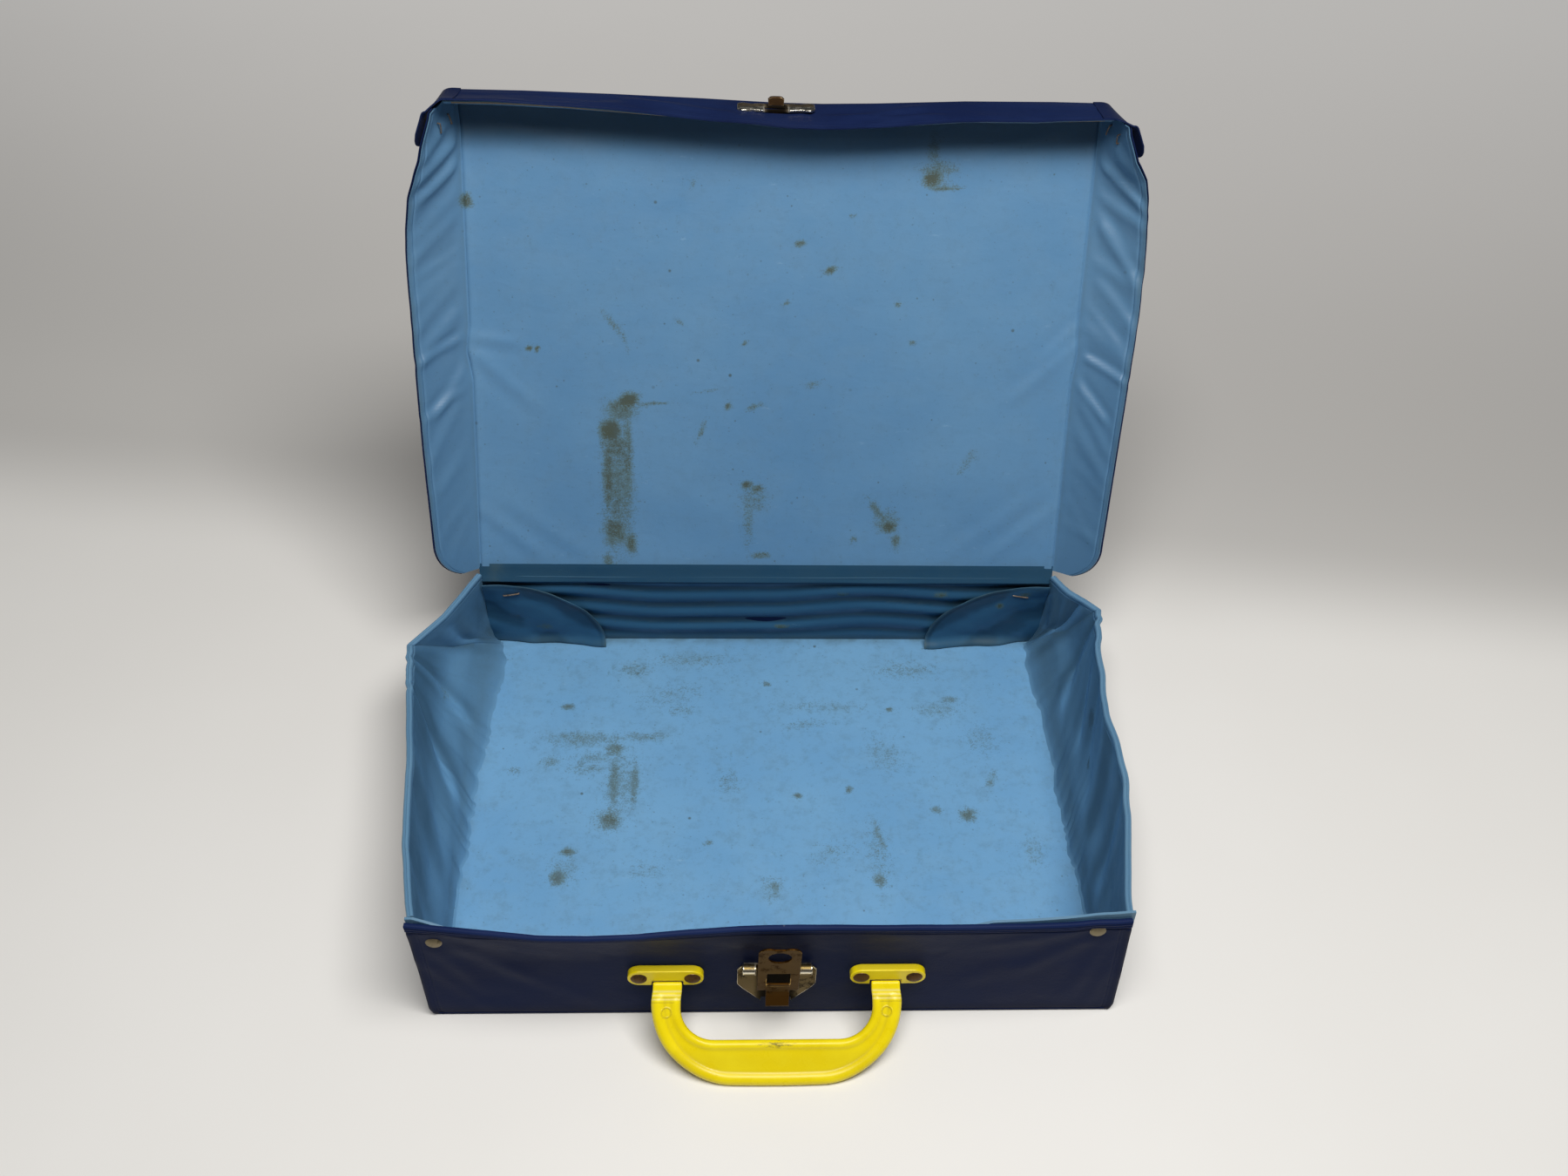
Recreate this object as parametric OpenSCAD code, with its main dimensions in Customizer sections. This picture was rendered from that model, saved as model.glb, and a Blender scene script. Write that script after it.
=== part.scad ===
// Carrying case for a boxed game: a welded vinyl tray with a hinged lid, standing open.
// The origin is the centre of the underside, +Y runs to the hinge side and +Z up.
// Sizes are in millimetres.

/* [Tray] */
// Width of the tray over its side walls
tray_w = 303; // [250:1:350]
// Depth of the tray at its underside
tray_d = 227; // [180:1:260]
// Height of the front wall to its rim
front_h = 75; // [60:1:90]
// Height of the sagging rear wall
rear_h = 52.6; // [45:0.1:70]
// Distance the rear wall leans in at its top
rear_lean = 3; // [0:0.5:8]
// Height of the welded rim on the walls
rim_h = 4; // [2:0.5:6]
// Thickness of the welded rim
rim_t = 1.8; // [1:0.1:3]

/* [Layers] */
// Thickness of the outer vinyl
skin_t = 0.6; // [0.4:0.1:1]
// Thickness of the inner vinyl
lining_t = 0.5; // [0.4:0.1:1]
// Thickness of the card in the floor, the front wall and the lid
board_t = 1.6; // [1:0.1:3]
// Thickness of the card in the side walls
side_board_t = 1.2; // [0.8:0.1:2]
// Thickness of each vinyl sheet of the rear wall
rear_t = 0.7; // [0.4:0.1:1]
// Gap between card and weld at the edges of a panel
weld_margin = 4; // [2:0.5:8]

/* [Lid] */
// Length of the lid from the hinge to its front fold
lid_l = 234; // [200:1:260]
// Width of the flat lid panel
lid_w = 301.6; // [250:0.1:350]
// Opening angle of the lid, measured from level
lid_open = 114; // [90:1:150]
// Depth of the lid's front lip
lip_h = 25; // [15:1:35]
// Angle the lip leans in from square
lip_lean = 14; // [0:1:20]
// Depth of the lid's side flanges
flange_h = 26; // [15:1:35]
// Angle the side flanges are splayed when the lid is open
flange_splay = 45; // [0:1:70]
// Distance from the case's centre to a flange's fold
flange_x = 153.2; // [130:0.1:180]
// Corner radius of a flange at the hinge end
flange_r = 15; // [5:1:24]

/* [Handle] */
// Distance from the case's centre to a handle tab's centre
tab_x = 47.5; // [35:0.5:70]
// Length of a handle tab
tab_l = 32.5; // [25:0.5:45]
// Height of a handle tab
tab_h = 10.5; // [8:0.5:16]
// Thickness of a handle tab
tab_t = 3.5; // [2:0.1:5]
// Height of the tab rivets above the underside
tab_z = 34.8; // [25:0.1:50]
// Distance from a tab's centre to each of its rivets
tab_rivet_x = 11.4; // [8:0.1:18]
// Half the outer width of the handle
grip_half = 53; // [45:0.5:65]
// Half the width of the finger gap
gap_half = 40.5; // [35:0.5:50]
// Distance from the folding line to the grip's far edge
grip_reach = 42.5; // [35:0.5:60]
// Distance from the folding line to the grip's near edge
gap_reach = 24; // [18:0.5:30]
// Radius of the grip's thick outer rim
rim_r = 3; // [2:0.1:4]
// Radius of the grip's inner rim
inner_rim_r = 2.2; // [1.5:0.1:3]

/* [Latch] */
// Width of the latch plate over its wings
latch_w = 34; // [28:0.5:45]
// Height of the latch pivot above the underside
pivot_z = 41.5; // [35:0.5:50]
// Width of the latch tongue
tongue_w = 17.6; // [14:0.1:22]
// Reach of the tongue above its pivot
tongue_top = 37; // [30:0.5:42]
// Height of the catch hole above the pivot
catch_t = 29.1; // [20:0.1:34]
// Radius of the catch hole
catch_r = 4.8; // [3:0.1:6]
// Angle the loose tongue tips out from the wall
tongue_tip = 7.3; // [0:0.1:15]
// Thickness of the latch's sheet metal
metal_t = 0.9; // [0.6:0.1:1.5]
// Radius of the latch pivot pin
pin_r = 1; // [0.8:0.1:1.5]
// Radial clearance of the tongue on its pin
pin_clear = 0.06; // [0.02:0.01:0.1]
// Width of the strike plate on the lid's lip
strike_w = 36; // [28:0.5:45]
// Width of the strike's nose
nose_w = 7.2; // [5:0.1:9]
// Distance the nose stands out of the strike plate
nose_out = 4; // [2:0.1:6]
// Distance of the nose from the lid's front fold
nose_drop = 10; // [6:0.5:16]

/* [Hidden] */
$fn = 48;
half_w = tray_w / 2;
half_d = tray_d / 2;
floor_t = skin_t + board_t + lining_t;
wall_t = skin_t + board_t + lining_t;
side_t = skin_t + side_board_t + lining_t;
hinge_y = half_d - rear_lean - 1;
hinge_z = rear_h + 2.9;
// slope of the closed lid and of the side walls' rims under it
side_slope = (front_h - 0.5 - rear_h - 2) / (hinge_y + half_d);
lid_turn = 180 - lid_open;
pivot_y = -half_d - metal_t - 2.4;
tongue_y = 7.2;
grip_y = -half_d - tab_t - 0.6;
grip_z = 31.2;
grip_drop = asin((grip_z - rim_r) / (grip_reach - rim_r));
rear_lean_a = atan(rear_lean / rear_h);

// ---- frames of the moving parts as they stand ----

module lid_frame() {
    translate([0, hinge_y, hinge_z])
        rotate([lid_turn, 0, 0])
            children();
}

// side is -1 for the left flange and 1 for the right one; X runs outward, Y along the lid
module flange_frame(side) {
    lid_frame()
        translate([side * flange_x, 0, -wall_t / 2])
            rotate([0, side * flange_splay, 0])
                children();
}

module lip_frame() {
    lid_frame()
        translate([0, lid_l, -wall_t])
            rotate([lip_lean, 0, 0])
                children();
}

module tongue_frame() {
    translate([0, pivot_y, pivot_z])
        rotate([tongue_tip, 0, 0])
            children();
}

// Z runs back along the grip from its far edge, Y through its thickness
module grip_frame() {
    translate([0, grip_y, grip_z])
        rotate([grip_drop - 90, 0, 0])
            children();
}

// ---- shared shapes ----

module slab(x0, x1, y0, y1, z0, z1) {
    translate([x0, y0, z0])
        cube([x1 - x0, y1 - y0, z1 - z0]);
}

// a rivet head with its centre on the face, pointing to -Y
module dome_head(r, h) {
    rotate([90, 0, 0]) {
        intersection() {
            translate([0, 0, h - (r * r + h * h) / (2 * h)])
                sphere(r = (r * r + h * h) / (2 * h), $fn = 64);
            cylinder(r = r, h = h + 1);
        }
    }
}

// a wire staple lying on a face that looks to -Y
module staple(l, wire) {
    rotate([0, 90, 0])
        cylinder(r = wire, h = l, center = true, $fn = 24);
    for (s = [-1, 1])
        translate([s * (l / 2 - wire), 0, 0])
            rotate([-90, 0, 0])
                cylinder(r = wire * 0.9, h = 1.2, $fn = 24);
}

// a flat plate with round ends, standing in XZ and facing -Y
module round_plate(l, h, t) {
    rotate([90, 0, 0])
        linear_extrude(t)
            union() {
                square([l - h, h], center = true);
                for (s = [-1, 1])
                    translate([s * (l - h) / 2, 0])
                        circle(d = h);
            }
}

// height of a side wall under its rim at a depth y
function side_top(y) = rear_h + 2 + (hinge_y - y) * side_slope - rim_h;

// a side wall layer between two distances from the centre
module side_layer(side, x_in, x_out, z0, y0, y1, drop) {
    side_outline(side, x_in)
        linear_extrude(x_out - x_in)
            polygon([[y0, z0], [y1, z0], [y1, side_top(y1) - drop], [y0, side_top(y0) - drop]]);
}

// stands a YZ outline up so that it grows outward from x on one side
module side_outline(side, x) {
    if (side > 0)
        translate([x, 0, 0])
            rotate([90, 0, 90])
                children();
    else
        mirror([1, 0, 0])
            translate([x, 0, 0])
                rotate([90, 0, 90])
                    children();
}

// a rear wall layer, leaning in, between two distances from its outer face
module rear_layer(x, t0, t1, z1) {
    translate([0, half_d, 0])
        rotate([rear_lean_a, 0, 0])
            slab(-x, x, -t1, -t0, floor_t + 0.1, z1);
}

// ---- tray ----

module floor_skin() {
    color([0.07, 0.08, 0.22])
        slab(-half_w, half_w, -half_d, half_d, 0, skin_t);
}

module floor_board() {
    color([0.62, 0.52, 0.38])
        slab(-half_w + weld_margin, half_w - weld_margin,
             -half_d + weld_margin, half_d - weld_margin, skin_t, skin_t + board_t);
}

module floor_lining() {
    color([0.33, 0.58, 0.78])
        slab(-half_w + side_t, half_w - side_t, -half_d + wall_t, half_d - 2 * rear_t - 0.4,
             skin_t + board_t, floor_t);
}

module front_wall_skin() {
    color([0.07, 0.08, 0.22])
        slab(-half_w, half_w, -half_d, -half_d + skin_t, skin_t, front_h - rim_h);
}

module front_wall_board() {
    color([0.62, 0.52, 0.38])
        slab(-half_w + weld_margin, half_w - weld_margin,
             -half_d + skin_t, -half_d + skin_t + board_t, floor_t + 0.5, front_h - rim_h - 1);
}

module front_wall_lining() {
    color([0.33, 0.58, 0.78])
        slab(-half_w + side_t, half_w - side_t,
             -half_d + wall_t - lining_t, -half_d + wall_t, floor_t, front_h - rim_h);
}

module front_rim() {
    color([0.07, 0.08, 0.22])
        slab(-half_w, half_w, -half_d, -half_d + rim_t, front_h - rim_h, front_h);
}

module side_skin(side) {
    color([0.07, 0.08, 0.22])
        side_layer(side, half_w - skin_t, half_w, skin_t, -half_d + skin_t, half_d - rear_lean - 1.6, 0);
}

module side_board(side) {
    color([0.62, 0.52, 0.38])
        side_layer(side, half_w - skin_t - side_board_t, half_w - skin_t, floor_t + 0.5,
                   -half_d + wall_t + 1, half_d - 55, 1);
}

module side_lining(side) {
    color([0.33, 0.58, 0.78])
        side_layer(side, half_w - side_t, half_w - side_t + lining_t, floor_t,
                   -half_d + wall_t, half_d - rear_lean - 2.6, 0);
}

module side_rim(side) {
    color([0.33, 0.58, 0.78])
        side_outline(side, half_w - rim_t)
            linear_extrude(rim_t)
                polygon([
                    [-half_d + rim_t, side_top(-half_d + rim_t)],
                    [half_d - rear_lean - 1.6, side_top(half_d - rear_lean - 1.6)],
                    [half_d - rear_lean - 1.6, side_top(half_d - rear_lean - 1.6) + rim_h],
                    [-half_d + rim_t, side_top(-half_d + rim_t) + rim_h]
                ]);
}

module left_wall_skin() {
    side_skin(-1);
}

module left_wall_board() {
    side_board(-1);
}

module left_wall_lining() {
    side_lining(-1);
}

module left_rim() {
    side_rim(-1);
}

module right_wall_skin() {
    side_skin(1);
}

module right_wall_board() {
    side_board(1);
}

module right_wall_lining() {
    side_lining(1);
}

module right_rim() {
    side_rim(1);
}

module rear_wall_skin() {
    color([0.07, 0.08, 0.22])
        rear_layer(half_w - side_t - 0.2, 0, rear_t, rear_h);
}

module rear_wall_lining() {
    color([0.30, 0.52, 0.70])
        rear_layer(half_w - side_t - 0.2, rear_t, 2 * rear_t, rear_h);
}

// a side wall's end folded round on the rear wall, with a quarter-round free edge
module rear_flap(side) {
    flap_h = rear_h - 6;
    color([0.33, 0.58, 0.78])
        translate([side * (half_w - side_t - 0.4), half_d, 0])
            rotate([rear_lean_a, 0, 0])
                translate([0, -2 * rear_t, floor_t + 0.4])
                    rotate([90, 0, 0])
                        linear_extrude(lining_t)
                            intersection() {
                                translate([side > 0 ? -62 : 0, 0])
                                    square([62, flap_h]);
                                quarter_fan(62, flap_h);
                            }
}

// an ellipse-like quarter drawn as a closed fan
module quarter_fan(a, b) {
    polygon([for (i = [0 : 47]) [a * cos(i * 7.5), b * sin(i * 7.5)]]);
}

module left_rear_flap() {
    rear_flap(-1);
}

module right_rear_flap() {
    rear_flap(1);
}

module hinge_welt() {
    color([0.25, 0.45, 0.62])
        translate([0, hinge_y, hinge_z])
            rotate([0, 90, 0])
                cylinder(r = 1.1, h = lid_w - 6, center = true, $fn = 32);
}

module corner_rivets() {
    color([0.55, 0.47, 0.30])
        for (s = [-1, 1])
            translate([s * 140, -half_d, 66.5])
                dome_head(3.7, 1.5);
}

module rear_staples() {
    color([0.60, 0.60, 0.58])
        for (s = [-1, 1])
            translate([0, half_d, 0])
                rotate([rear_lean_a, 0, 0])
                    translate([s * 134, -2 * rear_t - lining_t - 0.35, rear_h - 10])
                        rotate([0, s * 12, 0])
                            staple(8, 0.4);
}

// ---- handle ----

module handle_tab(side) {
    color([0.93, 0.86, 0.05])
        translate([side * tab_x, -half_d, tab_z])
            difference() {
                round_plate(tab_l, tab_h, tab_t);
                // notch that the strap folds in
                translate([-side * 0.75 - 6.7, -tab_t - 1, -tab_h])
                    cube([13.4, 2.6, grip_z - tab_z + tab_h + 1.6]);
                for (s = [-1, 1])
                    translate([s * tab_rivet_x, 0.5, 0])
                        rotate([90, 0, 0])
                            cylinder(r = 1.6, h = tab_t + 1);
            }
}

module handle_tab_left() {
    handle_tab(-1);
}

module handle_tab_right() {
    handle_tab(1);
}

module handle_rivets() {
    color([0.45, 0.33, 0.20])
        for (side = [-1, 1])
            for (s = [-1, 1])
                translate([side * tab_x + s * tab_rivet_x, -half_d, tab_z]) {
                    rotate([90, 0, 0])
                        cylinder(r = 1.6, h = tab_t);
                    translate([0, -tab_t, 0])
                        dome_head(3.7, 1.3);
                }
}

// outline of the grip out to a half width, a reach and a corner radius, from the folding line
module grip_outline(half, reach, r) {
    union() {
        translate([-half, -reach + r])
            square([2 * half, reach - r]);
        translate([-half + r, -reach])
            square([2 * half - 2 * r, reach]);
        for (s = [-1, 1])
            translate([s * (half - r), -reach + r])
                circle(r = r, $fn = 96);
    }
}

// a round rim following the grip: two sides, two corners and the far edge
module grip_rim(half, reach, r, rim, start) {
    translate([-half + r, 0, -reach])
        rotate([0, 90, 0])
            cylinder(r = rim, h = 2 * half - 2 * r);
    for (s = [-1, 1]) {
        translate([s * half, 0, -reach + r])
            cylinder(r = rim, h = reach - r - start);
        translate([s * half, 0, -start])
            sphere(r = rim);
        translate([s * (half - r), 0, -reach + r])
            rotate([90, 0, 0])
                rotate([0, 0, s > 0 ? 270 : 180])
                    rotate_extrude(angle = 90, $fn = 96)
                        translate([r, 0])
                            circle(r = rim, $fn = 48);
    }
}

module handle_grip() {
    strap_w = grip_half - gap_half;
    color([0.93, 0.86, 0.05])
        grip_frame() {
            // web between the rims, open over the fingers
            difference() {
                translate([0, 1.5, 0])
                    rotate([90, 0, 0])
                        linear_extrude(3)
                            difference() {
                                grip_outline(grip_half - rim_r, grip_reach - rim_r, 31);
                                grip_outline(gap_half + inner_rim_r, gap_reach + inner_rim_r,
                                             14 + inner_rim_r);
                            }
                translate([-grip_half, -3, -4])
                    cube([2 * grip_half, 6, 40]);
            }
            grip_rim(grip_half - rim_r, grip_reach - rim_r, 31, rim_r, 7);
            grip_rim(gap_half + inner_rim_r, gap_reach + inner_rim_r, 14 + inner_rim_r,
                     inner_rim_r, 7);
            // thin straps running up to the folding line
            for (s = [-1, 1]) {
                translate([s * (grip_half + gap_half) / 2 - strap_w / 2, -1.1, -9])
                    cube([strap_w, 2.2, 9]);
                translate([s * (grip_half + gap_half) / 2, 0, 0])
                    rotate([0, 90, 0])
                        cylinder(r = 1.1, h = strap_w, center = true, $fn = 32);
            }
        }
}

// ---- latch ----

module latch_plate() {
    knuckle_in = tongue_w / 2 + 0.4;
    color([0.66, 0.62, 0.50])
        difference() {
            union() {
                translate([0, -half_d, 0])
                    rotate([90, 0, 0])
                        linear_extrude(metal_t)
                            polygon([
                                [-latch_w / 2 + 3, pivot_z], [-latch_w / 2, pivot_z - 4],
                                [-latch_w / 2, pivot_z - 14], [-latch_w / 2 + 2, pivot_z - 17],
                                [-6.5, pivot_z - 26.5], [6.5, pivot_z - 26.5],
                                [latch_w / 2 - 2, pivot_z - 17], [latch_w / 2, pivot_z - 14],
                                [latch_w / 2, pivot_z - 4], [latch_w / 2 - 3, pivot_z]
                            ]);
                // the top edge is rolled round the pin on each side of the tongue
                for (s = [-1, 1]) {
                    translate([s * (knuckle_in + 2.8), pivot_y, pivot_z])
                        rotate([0, 90, 0])
                            cylinder(r = 2.4, h = 5.6, center = true);
                    translate([s * (knuckle_in + 2.8) - 2.8, pivot_y, pivot_z - 2.4])
                        cube([5.6, -half_d - pivot_y, 2.4]);
                }
            }
            translate([0, pivot_y, pivot_z])
                rotate([0, 90, 0])
                    cylinder(r = pin_r, h = latch_w + 2, center = true, $fn = 32);
        }
}

module latch_pin() {
    color([0.60, 0.58, 0.52])
        translate([0, pivot_y, pivot_z])
            rotate([0, 90, 0])
                cylinder(r = pin_r, h = tongue_w + 11.4, center = true, $fn = 32);
}

// outline of the tongue's front: two bumps on top, shoulders, and a narrower foot
module tongue_front() {
    w = tongue_w / 2;
    difference() {
        union() {
            translate([-w, -3])
                square([2 * w, tongue_top - 1.2]);
            for (s = [-1, 1])
                translate([s * (w - 4.2), tongue_top - 4.2])
                    circle(r = 4.2);
            translate([-w + 4.2, tongue_top - 6])
                square([2 * w - 8.4, 5.2]);
        }
        translate([0, catch_t])
            circle(r = catch_r);
        translate([-4.9, 3])
            square([9.8, 10.5]);
    }
}

module latch_tongue() {
    w = tongue_w / 2;
    color([0.42, 0.30, 0.14])
        difference() {
            tongue_frame() {
                translate([0, -tongue_y, 0])
                    rotate([90, 0, 0])
                        linear_extrude(metal_t)
                            tongue_front();
                // cheeks that carry the pin
                for (s = [-1, 1])
                    translate([s * (w - metal_t / 2) - metal_t / 2, 0, 0])
                        rotate([90, 0, 90])
                            linear_extrude(metal_t)
                                union() {
                                    circle(r = 2.1);
                                    polygon([[-tongue_y, -3], [-tongue_y, 9], [0.4, 2.05], [0, -2.1]]);
                                }
                // finger tab curling out and down from the foot
                translate([-5, -tongue_y - metal_t, -3])
                    rotate([90, 0, 90])
                        linear_extrude(10)
                            polygon([[0, 0.5], [metal_t, 0.5], [metal_t, -2], [0.2, -5],
                                     [-1.3, -8.5], [-2.4, -9.6], [-2.4, -8.4], [-1.9, -7],
                                     [-0.6, -3.5], [0, -1.5]]);
            }
            translate([0, pivot_y, pivot_z])
                rotate([0, 90, 0])
                    cylinder(r = pin_r + pin_clear, h = tongue_w + 2, center = true, $fn = 32);
        }
}

// ---- lid ----

module lid_skin() {
    color([0.07, 0.08, 0.22])
        lid_frame()
            slab(-lid_w / 2, lid_w / 2, 2.6, lid_l - 1.2, -wall_t, -wall_t + skin_t);
}

module lid_board() {
    color([0.62, 0.52, 0.38])
        lid_frame()
            slab(-lid_w / 2 + weld_margin, lid_w / 2 - weld_margin,
                 2.6 + weld_margin, lid_l - 4, -wall_t + skin_t, -lining_t);
}

module lid_lining() {
    color([0.33, 0.60, 0.80])
        lid_frame()
            slab(-lid_w / 2, lid_w / 2, 2.6, lid_l - 3.8, -lining_t, 0);
}

module lip_skin() {
    color([0.07, 0.08, 0.22])
        lip_frame()
            slab(-lid_w / 2, lid_w / 2, -skin_t, 0, 0.1, lip_h + wall_t);
}

module lip_board() {
    color([0.62, 0.52, 0.38])
        lip_frame()
            slab(-lid_w / 2 + weld_margin, lid_w / 2 - weld_margin,
                 -skin_t - board_t, -skin_t, 4, lip_h + wall_t - weld_margin);
}

module lip_lining() {
    color([0.33, 0.60, 0.80])
        lip_frame()
            slab(-lid_w / 2, lid_w / 2, -wall_t, -skin_t - board_t, 3.4, lip_h + wall_t);
}

module strike_plate() {
    color([0.66, 0.62, 0.50])
        lip_frame()
            difference() {
                translate([0, 0, nose_drop + 1])
                    rotate([-90, 0, 0])
                        linear_extrude(1.2)
                            polygon([
                                [-strike_w / 2, -2], [-strike_w / 2, 2], [-strike_w / 2 + 2, 3.2],
                                [-8, 4.6], [8, 4.6],
                                [strike_w / 2 - 2, 3.2], [strike_w / 2, 2], [strike_w / 2, -2],
                                [strike_w / 2 - 2, -3.2], [6, -5.2], [-6, -5.2],
                                [-strike_w / 2 + 2, -3.2]
                            ]);
                slab(-5.4, 5.4, -1, 3, nose_drop + 0.8, nose_drop + 4.6);
            }
}

module strike_nose() {
    color([0.42, 0.30, 0.14])
        lip_frame()
            union() {
                slab(-nose_w / 2, nose_w / 2, 1.2, 1.2 + nose_out - nose_w / 4,
                     nose_drop - 1.6, nose_drop + 0.6);
                intersection() {
                    translate([0, 1.2 + nose_out - nose_w / 2, nose_drop - 1.6])
                        cylinder(r = nose_w / 2, h = 2.2);
                    slab(-nose_w, nose_w, 1.2, 9, 0, 20);
                }
            }
}

// ---- flanges ----

// outline of a flange from the hinge end to the front, growing to +X from its fold
module flange_outline() {
    y0 = 13;
    y1 = lid_l - 2;
    union() {
        translate([0.6, y0 + flange_r])
            square([flange_h - 0.6, y1 - y0 - flange_r]);
        translate([0.6, y0])
            square([flange_h - flange_r - 0.6, flange_r + 1]);
        intersection() {
            translate([flange_h - flange_r, y0 + flange_r])
                circle(r = flange_r, $fn = 64);
            translate([0.6, y0])
                square([flange_h, flange_r + 1]);
        }
    }
}

// turns a shape drawn flat, X out from the fold, so that it hangs square off the lid
module flange_hang(side) {
    flange_frame(side)
        if (side > 0)
            rotate([0, -90, 0])
                children();
        else
            mirror([1, 0, 0])
                rotate([0, -90, 0])
                    children();
}

module flange_skin(side) {
    color([0.07, 0.08, 0.22])
        flange_hang(side)
            translate([0, 0, -0.8])
                linear_extrude(0.9)
                    flange_outline();
}

module flange_lining(side) {
    color([0.33, 0.60, 0.80])
        flange_hang(side)
            translate([0, 0, 0.1])
                linear_extrude(0.7)
                    flange_outline();
}

module corner_flap(side) {
    color([0.07, 0.08, 0.22])
        flange_hang(side)
            translate([0, 0, -1.5])
                linear_extrude(0.7)
                    polygon([
                        [0.8, lid_l - 18], [flange_h - 8, lid_l - 15], [flange_h + 1, lid_l - 8],
                        [flange_h + 1, lid_l + 0.5], [0.8, lid_l + 0.5]
                    ]);
}

module lid_staples(side) {
    color([0.45, 0.38, 0.30])
        flange_hang(side)
            for (w = [6, 13])
                translate([w, lid_l - 9, 1.15])
                    rotate([-90, 0, 0])
                        staple(5, 0.35);
}

module left_flange_skin() {
    flange_skin(-1);
}

module left_flange_lining() {
    flange_lining(-1);
}

module left_corner_flap() {
    corner_flap(-1);
}

module left_lid_staples() {
    lid_staples(-1);
}

module right_flange_skin() {
    flange_skin(1);
}

module right_flange_lining() {
    flange_lining(1);
}

module right_corner_flap() {
    corner_flap(1);
}

module right_lid_staples() {
    lid_staples(1);
}

floor_skin();
floor_board();
floor_lining();
front_wall_skin();
front_wall_board();
front_wall_lining();
front_rim();
left_wall_skin();
left_wall_board();
left_wall_lining();
left_rim();
right_wall_skin();
right_wall_board();
right_wall_lining();
right_rim();
rear_wall_skin();
rear_wall_lining();
left_rear_flap();
right_rear_flap();
hinge_welt();
corner_rivets();
rear_staples();
handle_tab_left();
handle_tab_right();
handle_rivets();
handle_grip();
latch_plate();
latch_pin();
latch_tongue();
lid_skin();
lid_board();
lid_lining();
lip_skin();
lip_board();
lip_lining();
strike_plate();
strike_nose();
left_flange_skin();
left_flange_lining();
left_corner_flap();
left_lid_staples();
right_flange_skin();
right_flange_lining();
right_corner_flap();
right_lid_staples();
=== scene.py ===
"""Carrying case for a boxed game: a vinyl-over-card tray with a hinged lid, standing open."""

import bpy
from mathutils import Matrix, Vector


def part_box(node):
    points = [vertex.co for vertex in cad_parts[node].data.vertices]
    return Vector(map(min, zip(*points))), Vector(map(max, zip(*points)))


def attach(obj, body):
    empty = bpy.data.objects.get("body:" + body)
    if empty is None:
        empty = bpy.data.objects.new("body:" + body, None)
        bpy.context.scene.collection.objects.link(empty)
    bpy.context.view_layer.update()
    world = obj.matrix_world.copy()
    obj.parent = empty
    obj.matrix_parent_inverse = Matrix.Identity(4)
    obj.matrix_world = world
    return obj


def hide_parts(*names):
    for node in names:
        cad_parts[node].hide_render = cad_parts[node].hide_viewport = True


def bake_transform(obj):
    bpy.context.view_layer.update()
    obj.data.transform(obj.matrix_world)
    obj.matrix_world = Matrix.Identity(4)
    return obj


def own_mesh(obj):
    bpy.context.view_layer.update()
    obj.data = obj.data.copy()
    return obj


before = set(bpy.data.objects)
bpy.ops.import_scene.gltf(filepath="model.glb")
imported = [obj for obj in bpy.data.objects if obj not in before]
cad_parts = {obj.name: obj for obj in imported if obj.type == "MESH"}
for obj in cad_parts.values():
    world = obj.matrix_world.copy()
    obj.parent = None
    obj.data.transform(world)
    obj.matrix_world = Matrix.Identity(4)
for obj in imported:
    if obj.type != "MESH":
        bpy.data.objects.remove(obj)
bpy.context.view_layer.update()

import math

import bmesh
import bpy
import numpy as np
from mathutils import Matrix, Vector

MM = 0.001
WORD = {-1: "left", 1: "right"}

# ---- sizes repeated from the part, in millimetres ----
HALF_W, HALF_D, FRONT_H, REAR_H = 151.5, 113.5, 75.0, 52.6
SKIN_T, LINING_T, WALL_T, FLOOR_T = 0.6, 0.5, 2.7, 2.7
LID_L, LIP_H, FLANGE_W = 234.0, 27.7, 26.0
LID_TURN, LIP_LEAN = math.radians(66), math.radians(14)
REAR_LEAN = 3.0 / REAR_H
HINGE = np.array([0.0, 109.5, 55.5])
FLANGE_X = 153.2
GRIP_Y, GRIP_Z = -117.6, 31.2
TAB_X, TAB_Z = 47.5, 34.8
CAD_RIVET = (140.0, 66.5)

# directions: the tray's, then along the lid, into it, out from its lip and down its lip
ACROSS, FORWARD, UPWARD = np.eye(3)
ALONG = np.array([0.0, math.cos(LID_TURN), math.sin(LID_TURN)])
INWARD = np.array([0.0, -math.sin(LID_TURN), math.cos(LID_TURN)])
LIP_OUT = ALONG * math.cos(LIP_LEAN) + INWARD * math.sin(LIP_LEAN)
LIP_DOWN = INWARD * math.cos(LIP_LEAN) - ALONG * math.sin(LIP_LEAN)

# ---- camera ----
LENS = 1758 / 1800 * 36
CAMERA_AT = (-25.0, -459.9, 615.7)
YAW, PITCH, ROLL = math.radians(3.39), math.radians(45.10), math.radians(2.63)


def add_object(name, data):
    made = bpy.data.objects.new(name, data)
    bpy.context.scene.collection.objects.link(made)
    return made


def add_camera():
    forward = np.array([math.sin(YAW) * math.cos(PITCH), math.cos(YAW) * math.cos(PITCH), -math.sin(PITCH)])
    level = np.array([math.cos(YAW), -math.sin(YAW), 0.0])
    high = np.cross(level, forward)
    right = level * math.cos(ROLL) + high * math.sin(ROLL)
    up = -level * math.sin(ROLL) + high * math.cos(ROLL)
    data = bpy.data.cameras.new("camera")
    data.lens, data.sensor_width = LENS, 36.0
    data.clip_start, data.clip_end = 0.02, 20.0
    camera = add_object("camera", data)
    turn = Matrix((right, up, -forward)).transposed().to_4x4()
    camera.matrix_world = Matrix.Translation(Vector(CAMERA_AT) * MM) @ turn
    bpy.context.scene.camera = camera


add_camera()


# ---- small numeric helpers ----

def smooth(a, b, x):
    t = np.clip((x - a) / (b - a), 0, 1)
    return t * t * (3 - 2 * t)


def bell(x, width):
    return np.exp(-(x / width) ** 2)


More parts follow.
